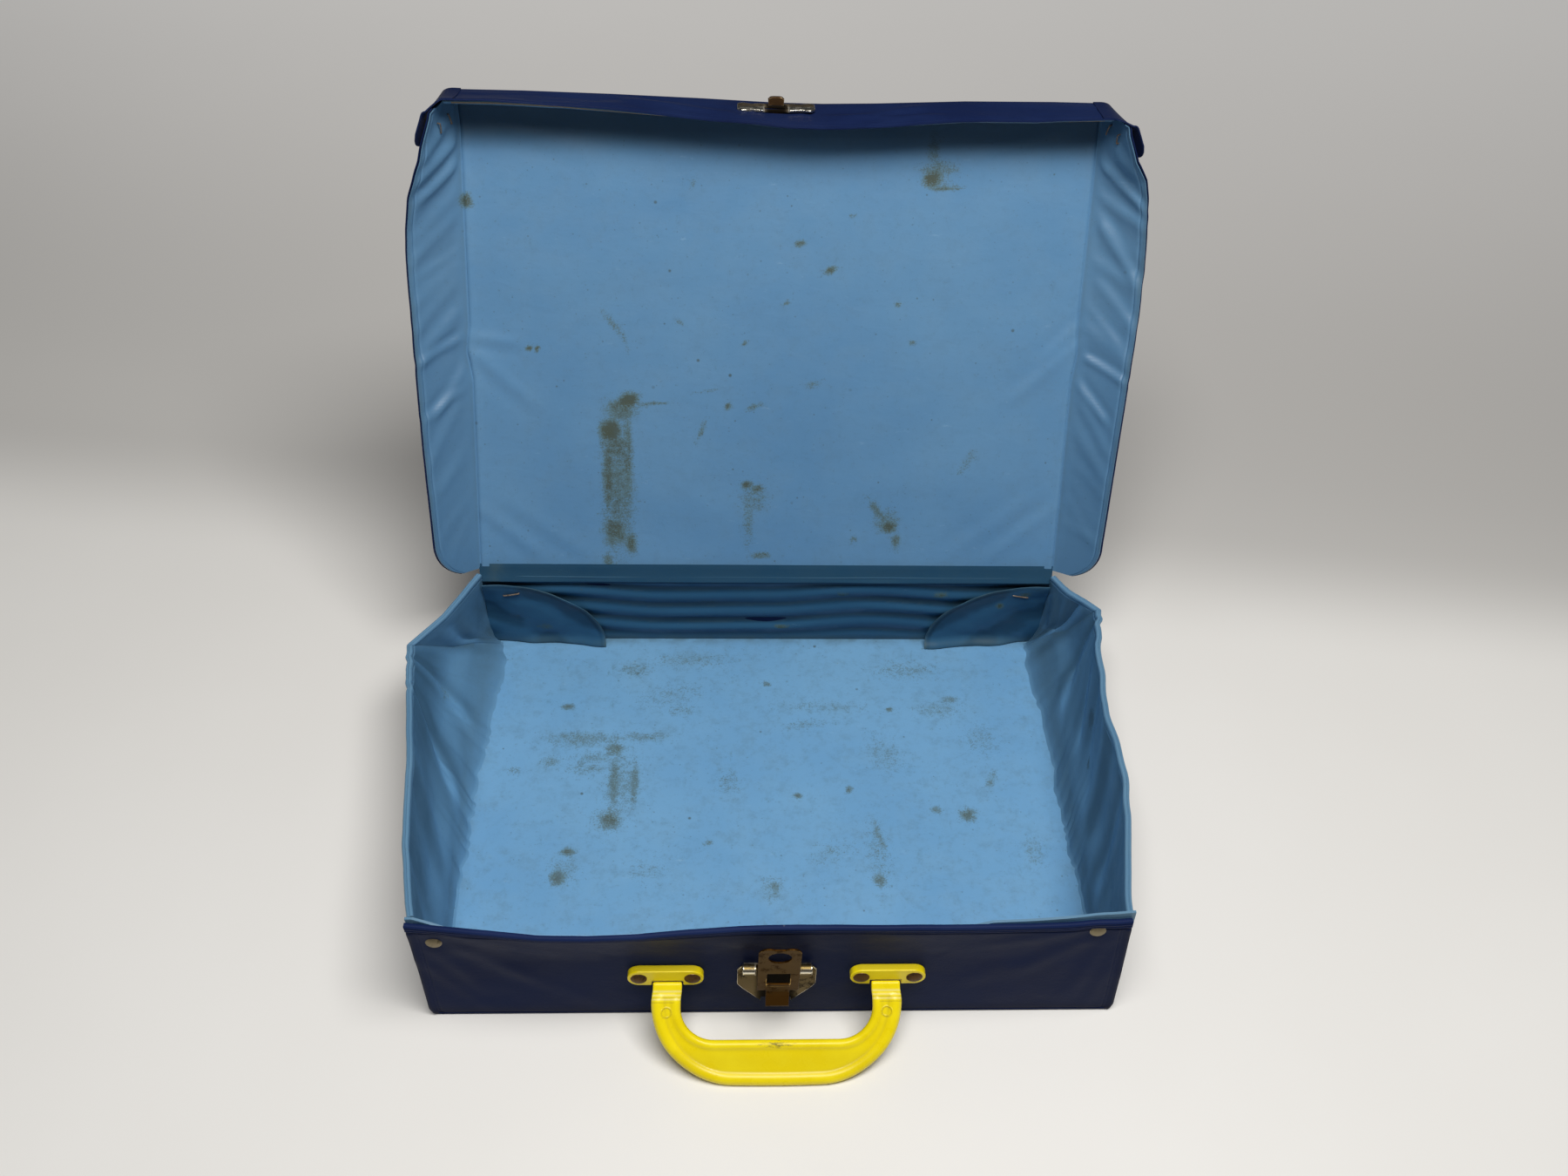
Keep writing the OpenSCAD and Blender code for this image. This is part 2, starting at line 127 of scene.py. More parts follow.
def read(table, x, column=1):
    """A table's column at x, in straight lines between its rows."""
    table = np.asarray(table, float)
    return np.interp(x, table[:, 0], table[:, column])


def grid(a, b):
    return np.meshgrid(a, b, indexing="ij")


def points_of(*parts):
    return np.stack(parts, -1)


def steps(*runs, once=False):
    """Evenly spaced numbers over runs of start, end and count; once sorts them and drops repeats."""
    row = np.concatenate([np.linspace(*run) for run in runs])
    return np.unique(row) if once else row


def value_noise(x, y, seed):
    """Smooth noise from -1 to 1 with one bump for each unit of x and y."""
    table = np.random.default_rng(seed).uniform(-1, 1, (64, 64))
    x, y = np.broadcast_arrays(np.asarray(x, float), np.asarray(y, float))
    i, j = np.floor(x).astype(int), np.floor(y).astype(int)
    fx, fy = x - i, y - j
    fx, fy = fx * fx * (3 - 2 * fx), fy * fy * (3 - 2 * fy)
    a, b, c, d = (table[(i + p) % 64, (j + q) % 64] for q in (0, 1) for p in (0, 1))
    return (a * (1 - fx) + b * fx) * (1 - fy) + (c * (1 - fx) + d * fx) * fy


def rough(x, y, seed):
    return sum(0.5 ** k * value_noise(x * 2 ** k, y * 2 ** k, seed + k) for k in range(3))


def folds(a, b, rows):
    """Height of soft folds over (a, b), faded at their ends. Rows are a0, b0, a1, b1, width, height."""
    total = np.zeros(np.broadcast(a, b).shape)
    for a0, b0, a1, b1, width, height in rows:
        length = math.hypot(a1 - a0, b1 - b0)
        along = ((a - a0) * (a1 - a0) + (b - b0) * (b1 - b0)) / length ** 2
        side = ((a - a0) * (b1 - b0) - (b - b0) * (a1 - a0)) / length
        over = np.maximum(np.maximum(-along, along - 1), 0) * length
        total += height * bell(over, 2.5 * width) * (bell(side, width) - 0.45 * bell(side - 1.7 * width,
            width))
    return total


def spots(a, b, rows):
    """Painted stain density; each row is centre a, b, half sizes, turn in degrees and strength."""
    total = np.zeros(np.broadcast(a, b).shape)
    for ca, cb, sa, sb, turn, strength in rows:
        c, s = math.cos(math.radians(turn)), math.sin(math.radians(turn))
        p = (a - ca) * c + (b - cb) * s
        q = -(a - ca) * s + (b - cb) * c
        total = np.maximum(total, strength * np.exp(-((p / sa) ** 2 + (q / sb) ** 2) ** 1.3))
    return total


def welds(distance, lines, width=0.35, depth=0.28):
    """Pressed weld lines at distances from an edge."""
    return -depth * sum(bell(distance - line, width) for line in lines)


def unit(v):
    return v / np.maximum(np.linalg.norm(v, axis=-1, keepdims=True), 1e-9)


def reaches(points):
    """Distance of each point of a polyline from its start."""
    return np.concatenate([[0], np.cumsum(np.linalg.norm(np.diff(points, axis=0), axis=1))])


def path_at(points, t):
    """Points of an open polyline at shares t of its length."""
    points = np.asarray(points, float)
    reach = reaches(points)
    return points_of(*(np.interp(t * reach[-1], reach, points[:, k]) for k in range(3)))


def soften(rows, times):
    rows = rows.copy()
    for _ in range(times):
        rows[1:-1] = rows[1:-1] * 0.5 + (rows[:-2] + rows[2:]) * 0.25
    return rows


# ---- mesh helpers ----

def put_values(mesh, values):
    for key, numbers in values.items():
        mesh.attributes.new(key, "FLOAT", "POINT").data.foreach_set("value",
            np.asarray(numbers, np.float32))


def get_all(rows, key, width, kind=np.float32):
    numbers = np.zeros(len(rows) * width, kind)
    rows.foreach_get(key, numbers)
    return numbers.reshape(-1, width)


def shade_smooth(mesh):
    mesh.polygons.foreach_set("use_smooth", np.ones(len(mesh.polygons), bool))


def mesh_object(name, verts, faces, materials, uv, values, face_materials=None, sharp=40):
    """A smooth-shaded mesh object from millimetre points; values are named numbers, one for each point."""
    mesh = bpy.data.meshes.new(name)
    mesh.from_pydata((np.asarray(verts, float) * MM).tolist(), [], [list(map(int, f)) for f in faces])
    for material in materials:
        mesh.materials.append(material)
    if face_materials is not None:
        mesh.polygons.foreach_set("material_index", np.asarray(face_materials, np.int32))
    corners = get_all(mesh.loops, "vertex_index", 1, np.int32).ravel()
    layer = mesh.uv_layers.new(name="sheet")
    layer.data.foreach_set("uv", (np.asarray(uv, float)[corners] * 0.01).astype(np.float32).ravel())
    put_values(mesh, values)
    bm = bmesh.new()
    bm.from_mesh(mesh)
    if bm.calc_volume(signed=True) < 0:
        bmesh.ops.reverse_faces(bm, faces=bm.faces)
    bm.to_mesh(mesh)
    bm.free()
    shade_smooth(mesh)
    mesh.set_sharp_from_angle(angle=math.radians(sharp))
    return add_object(name, mesh)


def finish_piece(piece, node=None, body=None):
    if node:
        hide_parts(node)
    if body:
        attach(piece, body)
    return piece


def normals(base, facing):
    """The normals of a grid of points, on its facing side."""
    up = unit(np.cross(np.gradient(base, axis=0), np.gradient(base, axis=1)))
    return up if np.mean(up @ facing) > 0 else -up


def shell(name, base, facing, low, high, material, node=None, body=None, uv=None, **values):
    """A closed sheet between two heights over a grid of points, along the normals on its facing side."""
    n, m = base.shape[:2]
    up = normals(base, facing)
    low, high = np.broadcast_to(low, (n, m))[..., None], np.broadcast_to(high, (n, m))[..., None]
    verts = np.concatenate([(base + up * high).reshape(-1, 3), (base + up * low).reshape(-1, 3)])
    at = np.arange(n * m).reshape(n, m)
    a, b, c, d = at[:-1, :-1].ravel(), at[1:, :-1].ravel(), at[1:, 1:].ravel(), at[:-1, 1:].ravel()
    k = n * m
    faces = [np.stack([a, b, c, d], 1), np.stack([d + k, c + k, b + k, a + k], 1)]
    for run, flip in ((at[:, 0], False), (at[:, -1], True), (at[0, :], True), (at[-1, :], False)):
        p, q = run[:-1], run[1:]
        edge = np.stack([p, p + k, q + k, q], 1)
        faces.append(edge[:, ::-1] if flip else edge)
    if uv is None:
        sizes = [np.linalg.norm(np.diff(base, axis=k), axis=2).mean(1 - k) for k in (0, 1)]
        uv = points_of(*grid(*(np.concatenate([[0], np.cumsum(size)]) for size in sizes)))
    values = {key: np.tile(np.broadcast_to(v, (n, m)).ravel(), 2) for key, v in values.items()}
    piece = mesh_object(name, verts, np.concatenate(faces), [material], np.tile(uv.reshape(-1, 2), (2, 1)),
                        values)
    return finish_piece(piece, node, body)


def sweep(name, path, side, up, profile, materials, values=(), face_materials=None):
    """A closed bar: a loop of (side, up) points carried along a path, with flat ends."""
    profile = np.asarray(profile, float)
    n, k = len(path), len(profile)
    points = path[:, None] + side[:, None] * profile[None, :, :1] + up[:, None] * profile[None, :, 1:]
    faces = [[i * k + j, i * k + (j + 1) % k, (i + 1) * k + (j + 1) % k, (i + 1) * k + j]
             for i in range(n - 1) for j in range(k)]
    faces += [list(range(k))[::-1], list(range((n - 1) * k, n * k))]
    kinds = list(face_materials or [0] * k) * (n - 1) + [0, 0]
    uv = points_of(*grid(reaches(path), reaches(profile))).reshape(-1, 2)
    return mesh_object(name, points.reshape(-1, 3), faces, materials, uv, dict(values), kinds, 50)


def moulded(name, node, voxel, smoothing, material, shape=None):
    """A copy of a CAD node with its edges rounded as on a moulded or pressed piece, and its points."""
    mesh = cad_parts[node].data.copy()
    bm = bmesh.new()
    bm.from_mesh(mesh)
    bmesh.ops.remove_doubles(bm, verts=bm.verts, dist=1e-6)
    bm.to_mesh(mesh)
    bm.free()
    drawn = add_object(name + "_drawn", mesh)
    remesh = drawn.modifiers.new("remesh", "REMESH")
    remesh.mode, remesh.voxel_size, remesh.use_smooth_shade = "VOXEL", voxel * MM, True
    relax = drawn.modifiers.new("relax", "SMOOTH")
    relax.factor, relax.iterations = 0.5, smoothing
    bpy.context.view_layer.update()
    made = bpy.data.meshes.new_from_object(drawn.evaluated_get(bpy.context.evaluated_depsgraph_get()))
    bpy.data.objects.remove(drawn)
    made.name = name
    made.materials.clear()
    made.materials.append(material)
    points = get_all(made.vertices, "co", 3) / MM
    if shape is not None:
        points = shape(points)
        made.vertices.foreach_set("co", (points * MM).astype(np.float32).ravel())
    for layer in list(made.uv_layers):
        made.uv_layers.remove(layer)
    shade_smooth(made)
    made.update()
    return add_object(name, made), points


# ---- materials ----

class Nodes:
    """Short ways of writing a material's nodes."""

    def __init__(self, name):
        self.material = bpy.data.materials.new(name)
        self.material.use_nodes = True
        self.tree = self.material.node_tree
        self.shader = self.tree.nodes["Principled BSDF"]

    def put(self, kind, **settings):
        node = self.tree.nodes.new(kind)
        for key, value in settings.items():
            setattr(node, key, value)
        return node

    def wire(self, source, target):
        if isinstance(source, (int, float)):
            target.default_value = source
        elif isinstance(source, tuple):
            target.default_value = (*source, 1.0) if len(source) == 3 else source
        else:
            self.tree.links.new(source, target)

    def fill(self, node, *sources):
        for key, source in sources:
            self.wire(source, node.inputs[key])
        return node

    def sheet(self, x=0.0, y=0.0):
        """The place on the sheet, moved by x and y so that two sheets differ."""
        node = self.put("ShaderNodeVectorMath", operation="ADD")
        self.wire(self.put("ShaderNodeUVMap", uv_map="sheet").outputs[0], node.inputs[0])
        node.inputs[1].default_value = (x, y, 0.0)
        return node.outputs[0]

    def place(self):
        return self.put("ShaderNodeTexCoord").outputs["Object"]

    def value(self, name):
        return self.put("ShaderNodeAttribute", attribute_name=name).outputs["Fac"]

    def noise(self, at, scale, detail=3.0, roughness=0.5, distortion=0.0):
        node = self.put("ShaderNodeTexNoise")
        return self.fill(node, ("Vector", at), ("Scale", scale), ("Detail", detail),
                         ("Roughness", roughness),
                         ("Distortion", distortion)).outputs["Fac"]

    def cells(self, at, scale, feature="F1"):
        node = self.put("ShaderNodeTexVoronoi", feature=feature)
        return self.fill(node, ("Vector", at), ("Scale", scale)).outputs["Distance"]

    def stretch(self, at, x=1.0, y=1.0, z=1.0, turn=0.0):
        node = self.fill(self.put("ShaderNodeMapping"), ("Vector", at))
        node.inputs["Scale"].default_value = (x, y, z)
        node.inputs["Rotation"].default_value = (0, 0, turn)
        return node.outputs[0]

    def sums(self, kind, a, b, clamp=False):
        node = self.put("ShaderNodeMath", operation=kind, use_clamp=clamp)
        return self.fill(node, (0, a), (1, b)).outputs[0]

    def add(self, a, b):
        return self.sums("ADD", a, b)

    def times(self, a, b):
        return self.sums("MULTIPLY", a, b)

    def less(self, a, b, clamp=False):
        return self.sums("SUBTRACT", a, b, clamp)

    def ramp(self, source, low, high, to_low=0.0, to_high=1.0):
        node = self.put("ShaderNodeMapRange", interpolation_type="SMOOTHSTEP")
        return self.fill(node, ("Value", source), ("From Min", low), ("From Max", high), ("To Min", to_low),
                         ("To Max", to_high)).outputs[0]

    def mix(self, share, a, b):
        node = self.put("ShaderNodeMix", data_type="RGBA", blend_type="MIX")
        return self.fill(node, ("Factor", share), ("A", a), ("B", b)).outputs["Result"]

    def over(self, colour, tint, source, low, high, most=1.0):
        """The tint laid over a colour where source rises from low to high, up to a share of most."""
        return self.mix(self.ramp(source, low, high, 0.0, most), colour, tint)

    def bump(self, height, strength, distance, below=None):
        node = self.fill(self.put("ShaderNodeBump"), ("Height", height), ("Strength", strength),
                         ("Distance", distance * MM))
        if below is not None:
            self.wire(below, node.inputs["Normal"])
        return node.outputs["Normal"]

    def surface(self, **sockets):
        for key, source in sockets.items():
            self.wire(source, self.shader.inputs[key.replace("_", " ")])
        return self.material


def deeper(colour, depth):
    """A colour scaled by one number, or by one number for each channel."""
    return tuple(round(float(part), 4) for part in np.multiply(colour, depth))


def blue_vinyl(name, dirt=1.0, seed=0.0, depth=1.0, shine=0.45):
    """Light blue lining: satin calendered vinyl with rubbed, stained and mildewed patches."""
    n = Nodes(name)
    at = n.sheet(seed, seed * 0.7)
    broad = n.noise(at, 1.4, 3.0)
    patch = n.noise(at, 6.0, 5.0, 0.6)
    colour = n.over(deeper((0.142, 0.305, 0.480), depth), deeper((0.165, 0.335, 0.505), depth), broad, 0.3,
                    0.7)
    colour = n.over(colour, deeper((0.150, 0.305, 0.450), depth), patch, 0.42, 0.75, 0.35 * dirt)
    # rubbed pale marks
    rub = n.noise(n.stretch(at, 3.0, 9.0, 1.0, 0.5), 3.0, 6.0, 0.7)
    colour = n.over(colour, (0.300, 0.480, 0.650), rub, 0.62, 0.80, 0.40 * dirt)
    # mildew: the painted density sets where it is, the noise breaks it up
    density = n.value("stain")
    broken = n.add(n.times(n.noise(at, 30.0, 5.0, 0.75), 0.6), n.times(n.noise(at, 120.0, 3.0, 0.7), 0.4))
    broken = n.add(n.times(density, 1.1), n.times(n.less(broken, 0.5), 2.6))
    film, core = n.ramp(broken, 0.22, 0.64), n.ramp(broken, 0.60, 0.98)
    haze = n.times(n.ramp(density, 0.10, 0.75, 0.0, 0.55), n.ramp(patch, 0.36, 0.62, 0.25, 1.0))
    colour = n.mix(haze, colour, (0.085, 0.165, 0.180))
    colour = n.mix(n.times(film, 0.66), colour, (0.075, 0.120, 0.100))
    colour = n.mix(n.times(core, 0.85), colour, (0.050, 0.060, 0.034))
    # small specks all over
    for scale, size, share in ((6.5, 0.075, 0.75), (15.0, 0.10, 0.60), (27.0, 0.13, 0.45)):
        speck = n.ramp(n.cells(at, scale), size * 0.4, size, 1.0, 0.0)
        some = n.ramp(n.noise(at, 0.45 * scale, 2.0), 0.47, 0.60, 0.0, share * min(1.0, dirt))
        colour = n.mix(n.times(speck, some), colour, (0.055, 0.080, 0.065))
    grime = n.add(n.noise(at, 15.0, 6.0, 0.75), n.times(patch, 0.35))
    most = max(0.05, 0.68 * (dirt - 0.78))
    colour = n.over(colour, deeper((0.110, 0.215, 0.300), depth), grime, 0.62, 0.88, most)
    smear = n.noise(n.stretch(at, 5.0, 2.2), 2.6, 6.0, 0.75)
    colour = n.over(colour, deeper((0.085, 0.160, 0.175), depth), smear, 0.60, 0.78, 0.42 * dirt)
    colour = n.mix(n.value("shade"), colour, deeper((0.050, 0.110, 0.170), depth))
    # painted soil and painted shade in the folds and along the welds
    soil = n.times(n.value("soil"), n.ramp(patch, 0.3, 0.6, 0.35, 0.9))
    colour = n.mix(soil, colour, (0.060, 0.105, 0.120))
    gloss = n.add(n.ramp(patch, 0.3, 0.7, 0.34, 0.50), n.times(film, 0.22))
    normal = n.bump(n.noise(at, 260.0, 2.0), 0.25, 0.06)
    normal = n.bump(n.noise(n.stretch(at, 1.0, 1.6), 9.0, 4.0, 0.55, 0.4), 0.30, 0.55, normal)
    return n.surface(Base_Color=colour, Roughness=gloss, Normal=normal, Specular_IOR_Level=shine)


def navy_vinyl(name, seed=0.0, depth=1.0):
    """Dark navy outer skin: fine leather-like grain, scuffs and dulled patches."""
    n = Nodes(name)
    at = n.sheet(seed, seed * 0.6)
    broad = n.noise(at, 2.0, 4.0, 0.6)
    fine = n.noise(at, 70.0, 4.0, 0.65)
    colour = n.over(deeper((0.0050, 0.0105, 0.0420), depth), deeper((0.0075, 0.0150, 0.0540), depth), broad,
                    0.3, 0.7)
    scuff = n.noise(n.stretch(at, 1.5, 14.0, 1.0, 0.35), 3.2, 7.0, 0.75)
    worn = n.ramp(n.add(scuff, n.times(fine, 0.12)), 0.76, 0.90, 0.0, 0.35)
    colour = n.mix(worn, colour, (0.034, 0.040, 0.080))
    # soil and painted shadow, near black
    colour = n.mix(n.times(n.value("soil"), n.ramp(fine, 0.3, 0.6, 0.3, 0.9)), colour,
                   (0.012, 0.011, 0.016))
    speck = n.ramp(n.cells(at, 9.0), 0.02, 0.05, 1.0, 0.0)
    colour = n.mix(n.times(speck, n.ramp(broad, 0.55, 0.62, 0.0, 0.5)), colour, (0.20, 0.20, 0.22))
    gloss = n.add(n.ramp(broad, 0.3, 0.7, 0.42, 0.54), n.times(worn, 0.25))
    normal = n.bump(n.cells(at, 130.0, "SMOOTH_F1"), 0.35, 0.10)
    normal = n.bump(n.noise(at, 10.0, 4.0, 0.55, 0.4), 0.35, 0.6, normal)
    return n.surface(Base_Color=colour, Roughness=gloss, Normal=normal, Specular_IOR_Level=0.05)


def card_board(name):
    n = Nodes(name)
    fibre = n.noise(n.stretch(n.place(), 300.0, 900.0, 300.0), 1.0, 5.0, 0.7)
    colour = n.mix(fibre, (0.36, 0.27, 0.17), (0.52, 0.42, 0.29))
    return n.surface(Base_Color=colour, Roughness=0.9, Normal=n.bump(fibre, 0.3, 0.1))


def yellow_plastic(name):
    """Moulded yellow plastic, faintly mottled, with scuffs, dirt and whitened stress lines."""
    n = Nodes(name)
    at = n.place()
    broad = n.noise(at, 60.0, 4.0, 0.6)
    colour = n.over((0.82, 0.64, 0.004), (0.90, 0.73, 0.006), broad, 0.3, 0.7)
    streak = n.noise(n.stretch(at, 60.0, 400.0, 400.0, 0.3), 2.0, 5.0, 0.7)
    colour = n.over(colour, (0.50, 0.38, 0.03), streak, 0.62, 0.78, 0.35)
    scratches = n.noise(n.stretch(at, 250.0, 900.0, 900.0), 1.6, 6.0, 0.75)
    scuff = n.ramp(n.add(n.value("scuff"), n.times(scratches, 0.9)), 0.84, 1.02)
    colour = n.mix(n.times(scuff, 0.8), colour, (0.10, 0.075, 0.03))
    soil = n.times(n.value("soil"), n.ramp(broad, 0.25, 0.6, 0.4, 1.0))
    colour = n.mix(n.times(soil, 0.65), colour, (0.30, 0.22, 0.03))
    colour = n.mix(n.value("stress"), colour, (0.86, 0.80, 0.42))
    gloss = n.add(n.ramp(broad, 0.3, 0.7, 0.24, 0.36), n.times(scuff, 0.3))
    normal = n.bump(n.value("ring"), 0.8, 0.35, n.bump(n.noise(at, 900.0, 3.0, 0.6), 0.12, 0.06))
    return n.surface(Base_Color=colour, Roughness=gloss, Normal=normal, Specular_IOR_Level=0.28)


def metal(name, bright, dull, dirt, gloss, cover=0.5):
    """Plated or bare sheet metal: bright where it is rubbed and where a highlight is painted, dull and
    spotted elsewhere, dark where dirt and painted shadow lie.
    """
    n = Nodes(name)
    at = n.place()
    broad = n.noise(at, 180.0, 5.0, 0.65)
    fine = n.noise(at, 1400.0, 4.0, 0.7)
    # the first value paints dirt in hollows and painted shadow, dark and not metallic; the second paints
    # rubbed metal and painted highlight, bright and glossy
    soil = n.value("soil")
    worn = n.ramp(n.add(n.times(n.value("wear_and_glint"), 0.9), n.times(broad, 0.5)), cover, cover + 0.28)
    rust = n.ramp(n.add(broad, n.times(fine, 0.4)), 0.72, 0.86, 0.0, 0.85)
    colour = n.mix(soil, n.mix(rust, n.mix(worn, dull, bright), dirt), deeper(dirt, 0.5))
    roughness = n.add(n.ramp(worn, 0.0, 1.0, gloss + 0.18, gloss), n.times(rust, 0.3))
    roughness = n.add(roughness, n.times(soil, 0.4))
    shine = n.less(n.less(1.0, n.times(rust, 0.5)), soil, True)
    normal = n.bump(broad, 0.25, 0.12, n.bump(fine, 0.20, 0.04))
    return n.surface(Base_Color=colour, Metallic=shine, Roughness=roughness, Normal=normal,
                     Specular_IOR_Level=0.05)


# copies of the one lining vinyl scaled darker for the light each part gets, which is painted shade: darkest
# on the rear wall and the hinge band, darker on the lid, flanges and rims
BLUE_LID = blue_vinyl("blue_lid", 1.0, 0.0, (0.70, 0.765, 0.845))
BLUE_FLANGE = blue_vinyl("blue_flange", 0.6, 1.9, (0.70, 0.765, 0.845))
BLUE_FLOOR = blue_vinyl("blue_floor", 1.35, 3.1, (0.93, 1.02, 1.09))
BLUE_WALL = blue_vinyl("blue_wall", 0.75, 7.7, (0.84, 0.94, 1.01), 0.35)
BLUE_REAR = blue_vinyl("blue_rear", 0.55, 9.2, (0.17, 0.30, 0.37), 0.18)
BLUE_HINGE = blue_vinyl("blue_hinge", 0.3, 2.2, (0.11, 0.19, 0.235), 0.05)
BLUE_RIM = blue_vinyl("blue_rim", 0.35, 4.4, 0.72, 0.3)
# the navy rim and lid copies are scaled lighter where they face the lamp: painted light
NAVY_TRAY = navy_vinyl("navy_tray", 0.0)
NAVY_RIM = navy_vinyl("navy_rim", 2.0, 1.5)
NAVY_LID = navy_vinyl("navy_lid", 5.3, 1.35)
CARD = card_board("card")
YELLOW = yellow_plastic("yellow")
# rubbed colour (also used for painted highlights), dull and dirty colours (the dirty one, halved, also
# paints shadow), gloss, and how little of it is rubbed
NICKEL = metal("nickel", (0.80, 0.74, 0.60), (0.150, 0.105, 0.036), (0.014, 0.010, 0.006), 0.24, 0.46)
BRASS = metal("dark_brass", (0.52, 0.34, 0.13), (0.050, 0.021, 0.003), (0.026, 0.012, 0.004), 0.32, 0.80)
RIVET = metal("rivet", (0.46, 0.41, 0.29), (0.24, 0.20, 0.125), (0.08, 0.065, 0.04), 0.36, 0.45)
BRONZE = metal("bronze_rivet", (0.30, 0.19, 0.09), (0.115, 0.062, 0.024), (0.04, 0.025, 0.014), 0.38)
STRIKE = metal("strike_nickel", (0.82, 0.78, 0.66), (0.34, 0.27, 0.18), (0.014, 0.010, 0.006), 0.24, 0.42)
NOSE = metal("nose_brass", (0.60, 0.46, 0.28), (0.20, 0.11, 0.05), (0.03, 0.018, 0.010), 0.30)
WIRE = metal("wire", (0.46, 0.42, 0.38), (0.22, 0.15, 0.10), (0.08, 0.045, 0.025), 0.35)


# ---- tray walls ----

# how far the front wall's top edge stands out, and how far it has sunk, along x
FRONT_EDGE = [
    (-151.5, 1.6, 2.2), (-140, 2.4, 2.9), (-118, 4.6, 3.1), (-97, 6.9, 3.2), (-76, 7.4, 3.1),
    (-55, 6.8, 3.0), (-34, 5.0, 2.6), (-12, 3.7, 2.2), (10, 3.6, 2.1), (45, 3.7, 2.1), (66, 3.5, 2.2),
    (88, 3.2, 2.6), (110, 2.6, 3.4), (131, 1.4, 4.0), (151.5, 0.2, 3.6)]
FRONT_FOLDS = [
    (-138, 62, -108, 34, 4.5, 0.9), (-144, 60, -128, 26, 4.0, 0.8), (-149, 44, -130, 14, 3.5, 0.6),
    (-132, 70, -96, 55, 4.0, 0.7), (-112, 36, -86, 18, 5.0, 0.5), (136, 62, 112, 40, 4.5, 0.8),
    (143, 58, 133, 24, 4.0, 0.7), (128, 68, 96, 58, 4.0, 0.6), (104, 40, 84, 26, 5.0, 0.4),
    (60, 66, 28, 62, 4.0, 0.4), (-40, 66, -8, 62, 4.0, 0.4), (147, 46, 140, 10, 3.0, 0.5)]
# where the sagging wall has taken the corner rivets
RIVETS = {-1: (-141.5, 59.6), 1: (137.3, 67.0)}
RIM_FOOT = 71.0


def front_point(x, z):
    """Outer face of the front wall; x and z are its flat coordinates."""
    high = np.clip((z - 43) / (FRONT_H - 43), 0, 1)
    high = high ** 1.5
    out = read(FRONT_EDGE, x) * high
    sunk = read(FRONT_EDGE, x, 2) * high
    out = out + 0.5 * folds(x, z, FRONT_FOLDS) + 0.35 * rough(x / 40, z / 30, 11) * smooth(0, 12, z)
    # it is held flat round the latch, the handle's tabs and the rivets
    held = smooth(22, 34, np.hypot(x, (z - 28) * 0.9))
    for side in WORD:
        held = held * smooth(9, 20, np.maximum(np.abs(x - side * TAB_X) - 9, np.abs(z - 35)))
        rivet_x, rivet_z = RIVETS[side]
        out = out * (1 - np.exp(-((x - rivet_x) ** 2 + (z - rivet_z) ** 2) / (2 * 5.5 ** 2)))
    out = np.where(z < 50, out * held, out * np.maximum(held, smooth(50, 58, z)))
    # the bottom edge turns under
    under = np.clip(1 - z / 3.0, 0, 1)
    out = out - 2.2 * (1 - np.sqrt(np.clip(1 - under ** 2, 0, 1)))
    shift = z / FRONT_H * np.interp(x, [-HALF_W, HALF_W], [-1.6, -4.2])
    # the lower corners are rounded
    cut = np.clip(1 - z / 6.5, 0, 1)
    shift = shift - np.sign(x) * 4.5 * (1 - np.sqrt(1 - cut ** 2)) * smooth(140, HALF_W, np.abs(x))
    return points_of(x + shift, -HALF_D - out, z - sunk)


def front_wall():
    x = steps((-HALF_W, HALF_W, 203), (-HALF_W, -146, 12), (146, HALF_W, 12), once=True)
    z = steps((0.2, 3.5, 8), (3.5, 64, 46), (64, RIM_FOOT, 20), once=True)
    X, Z = grid(x, z)
    base = front_point(X, Z)
    # a welded seam stands along each upright corner
    corner = HALF_W - np.abs(X)
    lift = welds(corner, (3.2, 4.4), 0.4, 0.3) + 0.5 * bell(corner - 1.2, 1.0)
    lift = lift + welds(FRONT_H - Z, (5.6,), 0.7, 0.45)
    # darker round the latch (dirt and the painted shadow of the tongue standing off the wall), at the foot
    # and along the corner seams
    by_latch = np.exp(-((X + 1) / 16) ** 2 - ((Z - 52) / 18) ** 2)
    soil = np.clip(0.75 * bell(Z, 5) + 0.6 * by_latch + 0.5 * bell(corner, 2.0), 0, 1)
    skin = shell("front_wall_outer_vinyl", base, -FORWARD, lift - SKIN_T, lift, NAVY_TRAY,
                 "front_wall_skin",
                 uv=points_of(X, Z), soil=soil)
    board = base[np.ix_(np.abs(x) < 148.5, z > 3.4)]
    card = shell("front_wall_card", board, -FORWARD, -2.15, -0.68, CARD, "front_wall_board")
    lining = shell("front_wall_inner_vinyl", board, -FORWARD, -WALL_T, -2.2, BLUE_WALL, "front_wall_lining",
                   soil=0.0, stain=0.0)
    # rim: navy outside, blue inside, with two weld lines on each face
    edge, top = (front_point(x, np.full_like(x, z)) for z in (RIM_FOOT, FRONT_H))
    up = unit(top - edge)
    out = unit(np.cross(np.gradient(edge, axis=0), up))
    out = np.where(out[:, 1:2] > 0, -out, out)
    outside = [(0.0, -0.6), (0.35, -0.3), (0.45, 0.4), (0.05, 0.85), (0.45, 1.3), (0.5, 2.1), (0.1, 2.55),
               (0.5, 3.0),
               (0.35, 3.7), (-0.3, 4.1), (-1.3, 4.1)]
    inside = [(-1.8, 3.7), (-1.95, 3.0), (-1.6, 2.55), (-1.95, 2.1), (-1.95, 1.4), (-1.6, 0.95),
              (-1.95, 0.5),
              (-1.8, -0.4)]
    kinds = [0] * len(outside) + [1] * len(inside)
    rim = sweep("front_wall_rim", edge, out, up, outside + inside, [NAVY_RIM, BLUE_WALL],
                face_materials=kinds)
    return [skin, card, lining, finish_piece(rim, "front_rim")]


# height of the side walls' front turn-ins above the front wall's rim, along x
TURN_IN = {
    -1: ([-151.1, -148, -140, -135], [2.4, 2.9, 0.2, -2.0]),
    1: ([84, 92, 120, 140, 149, 152.4], [-2.0, 0.9, 2.7, 3.7, 4.0, 4.0])}


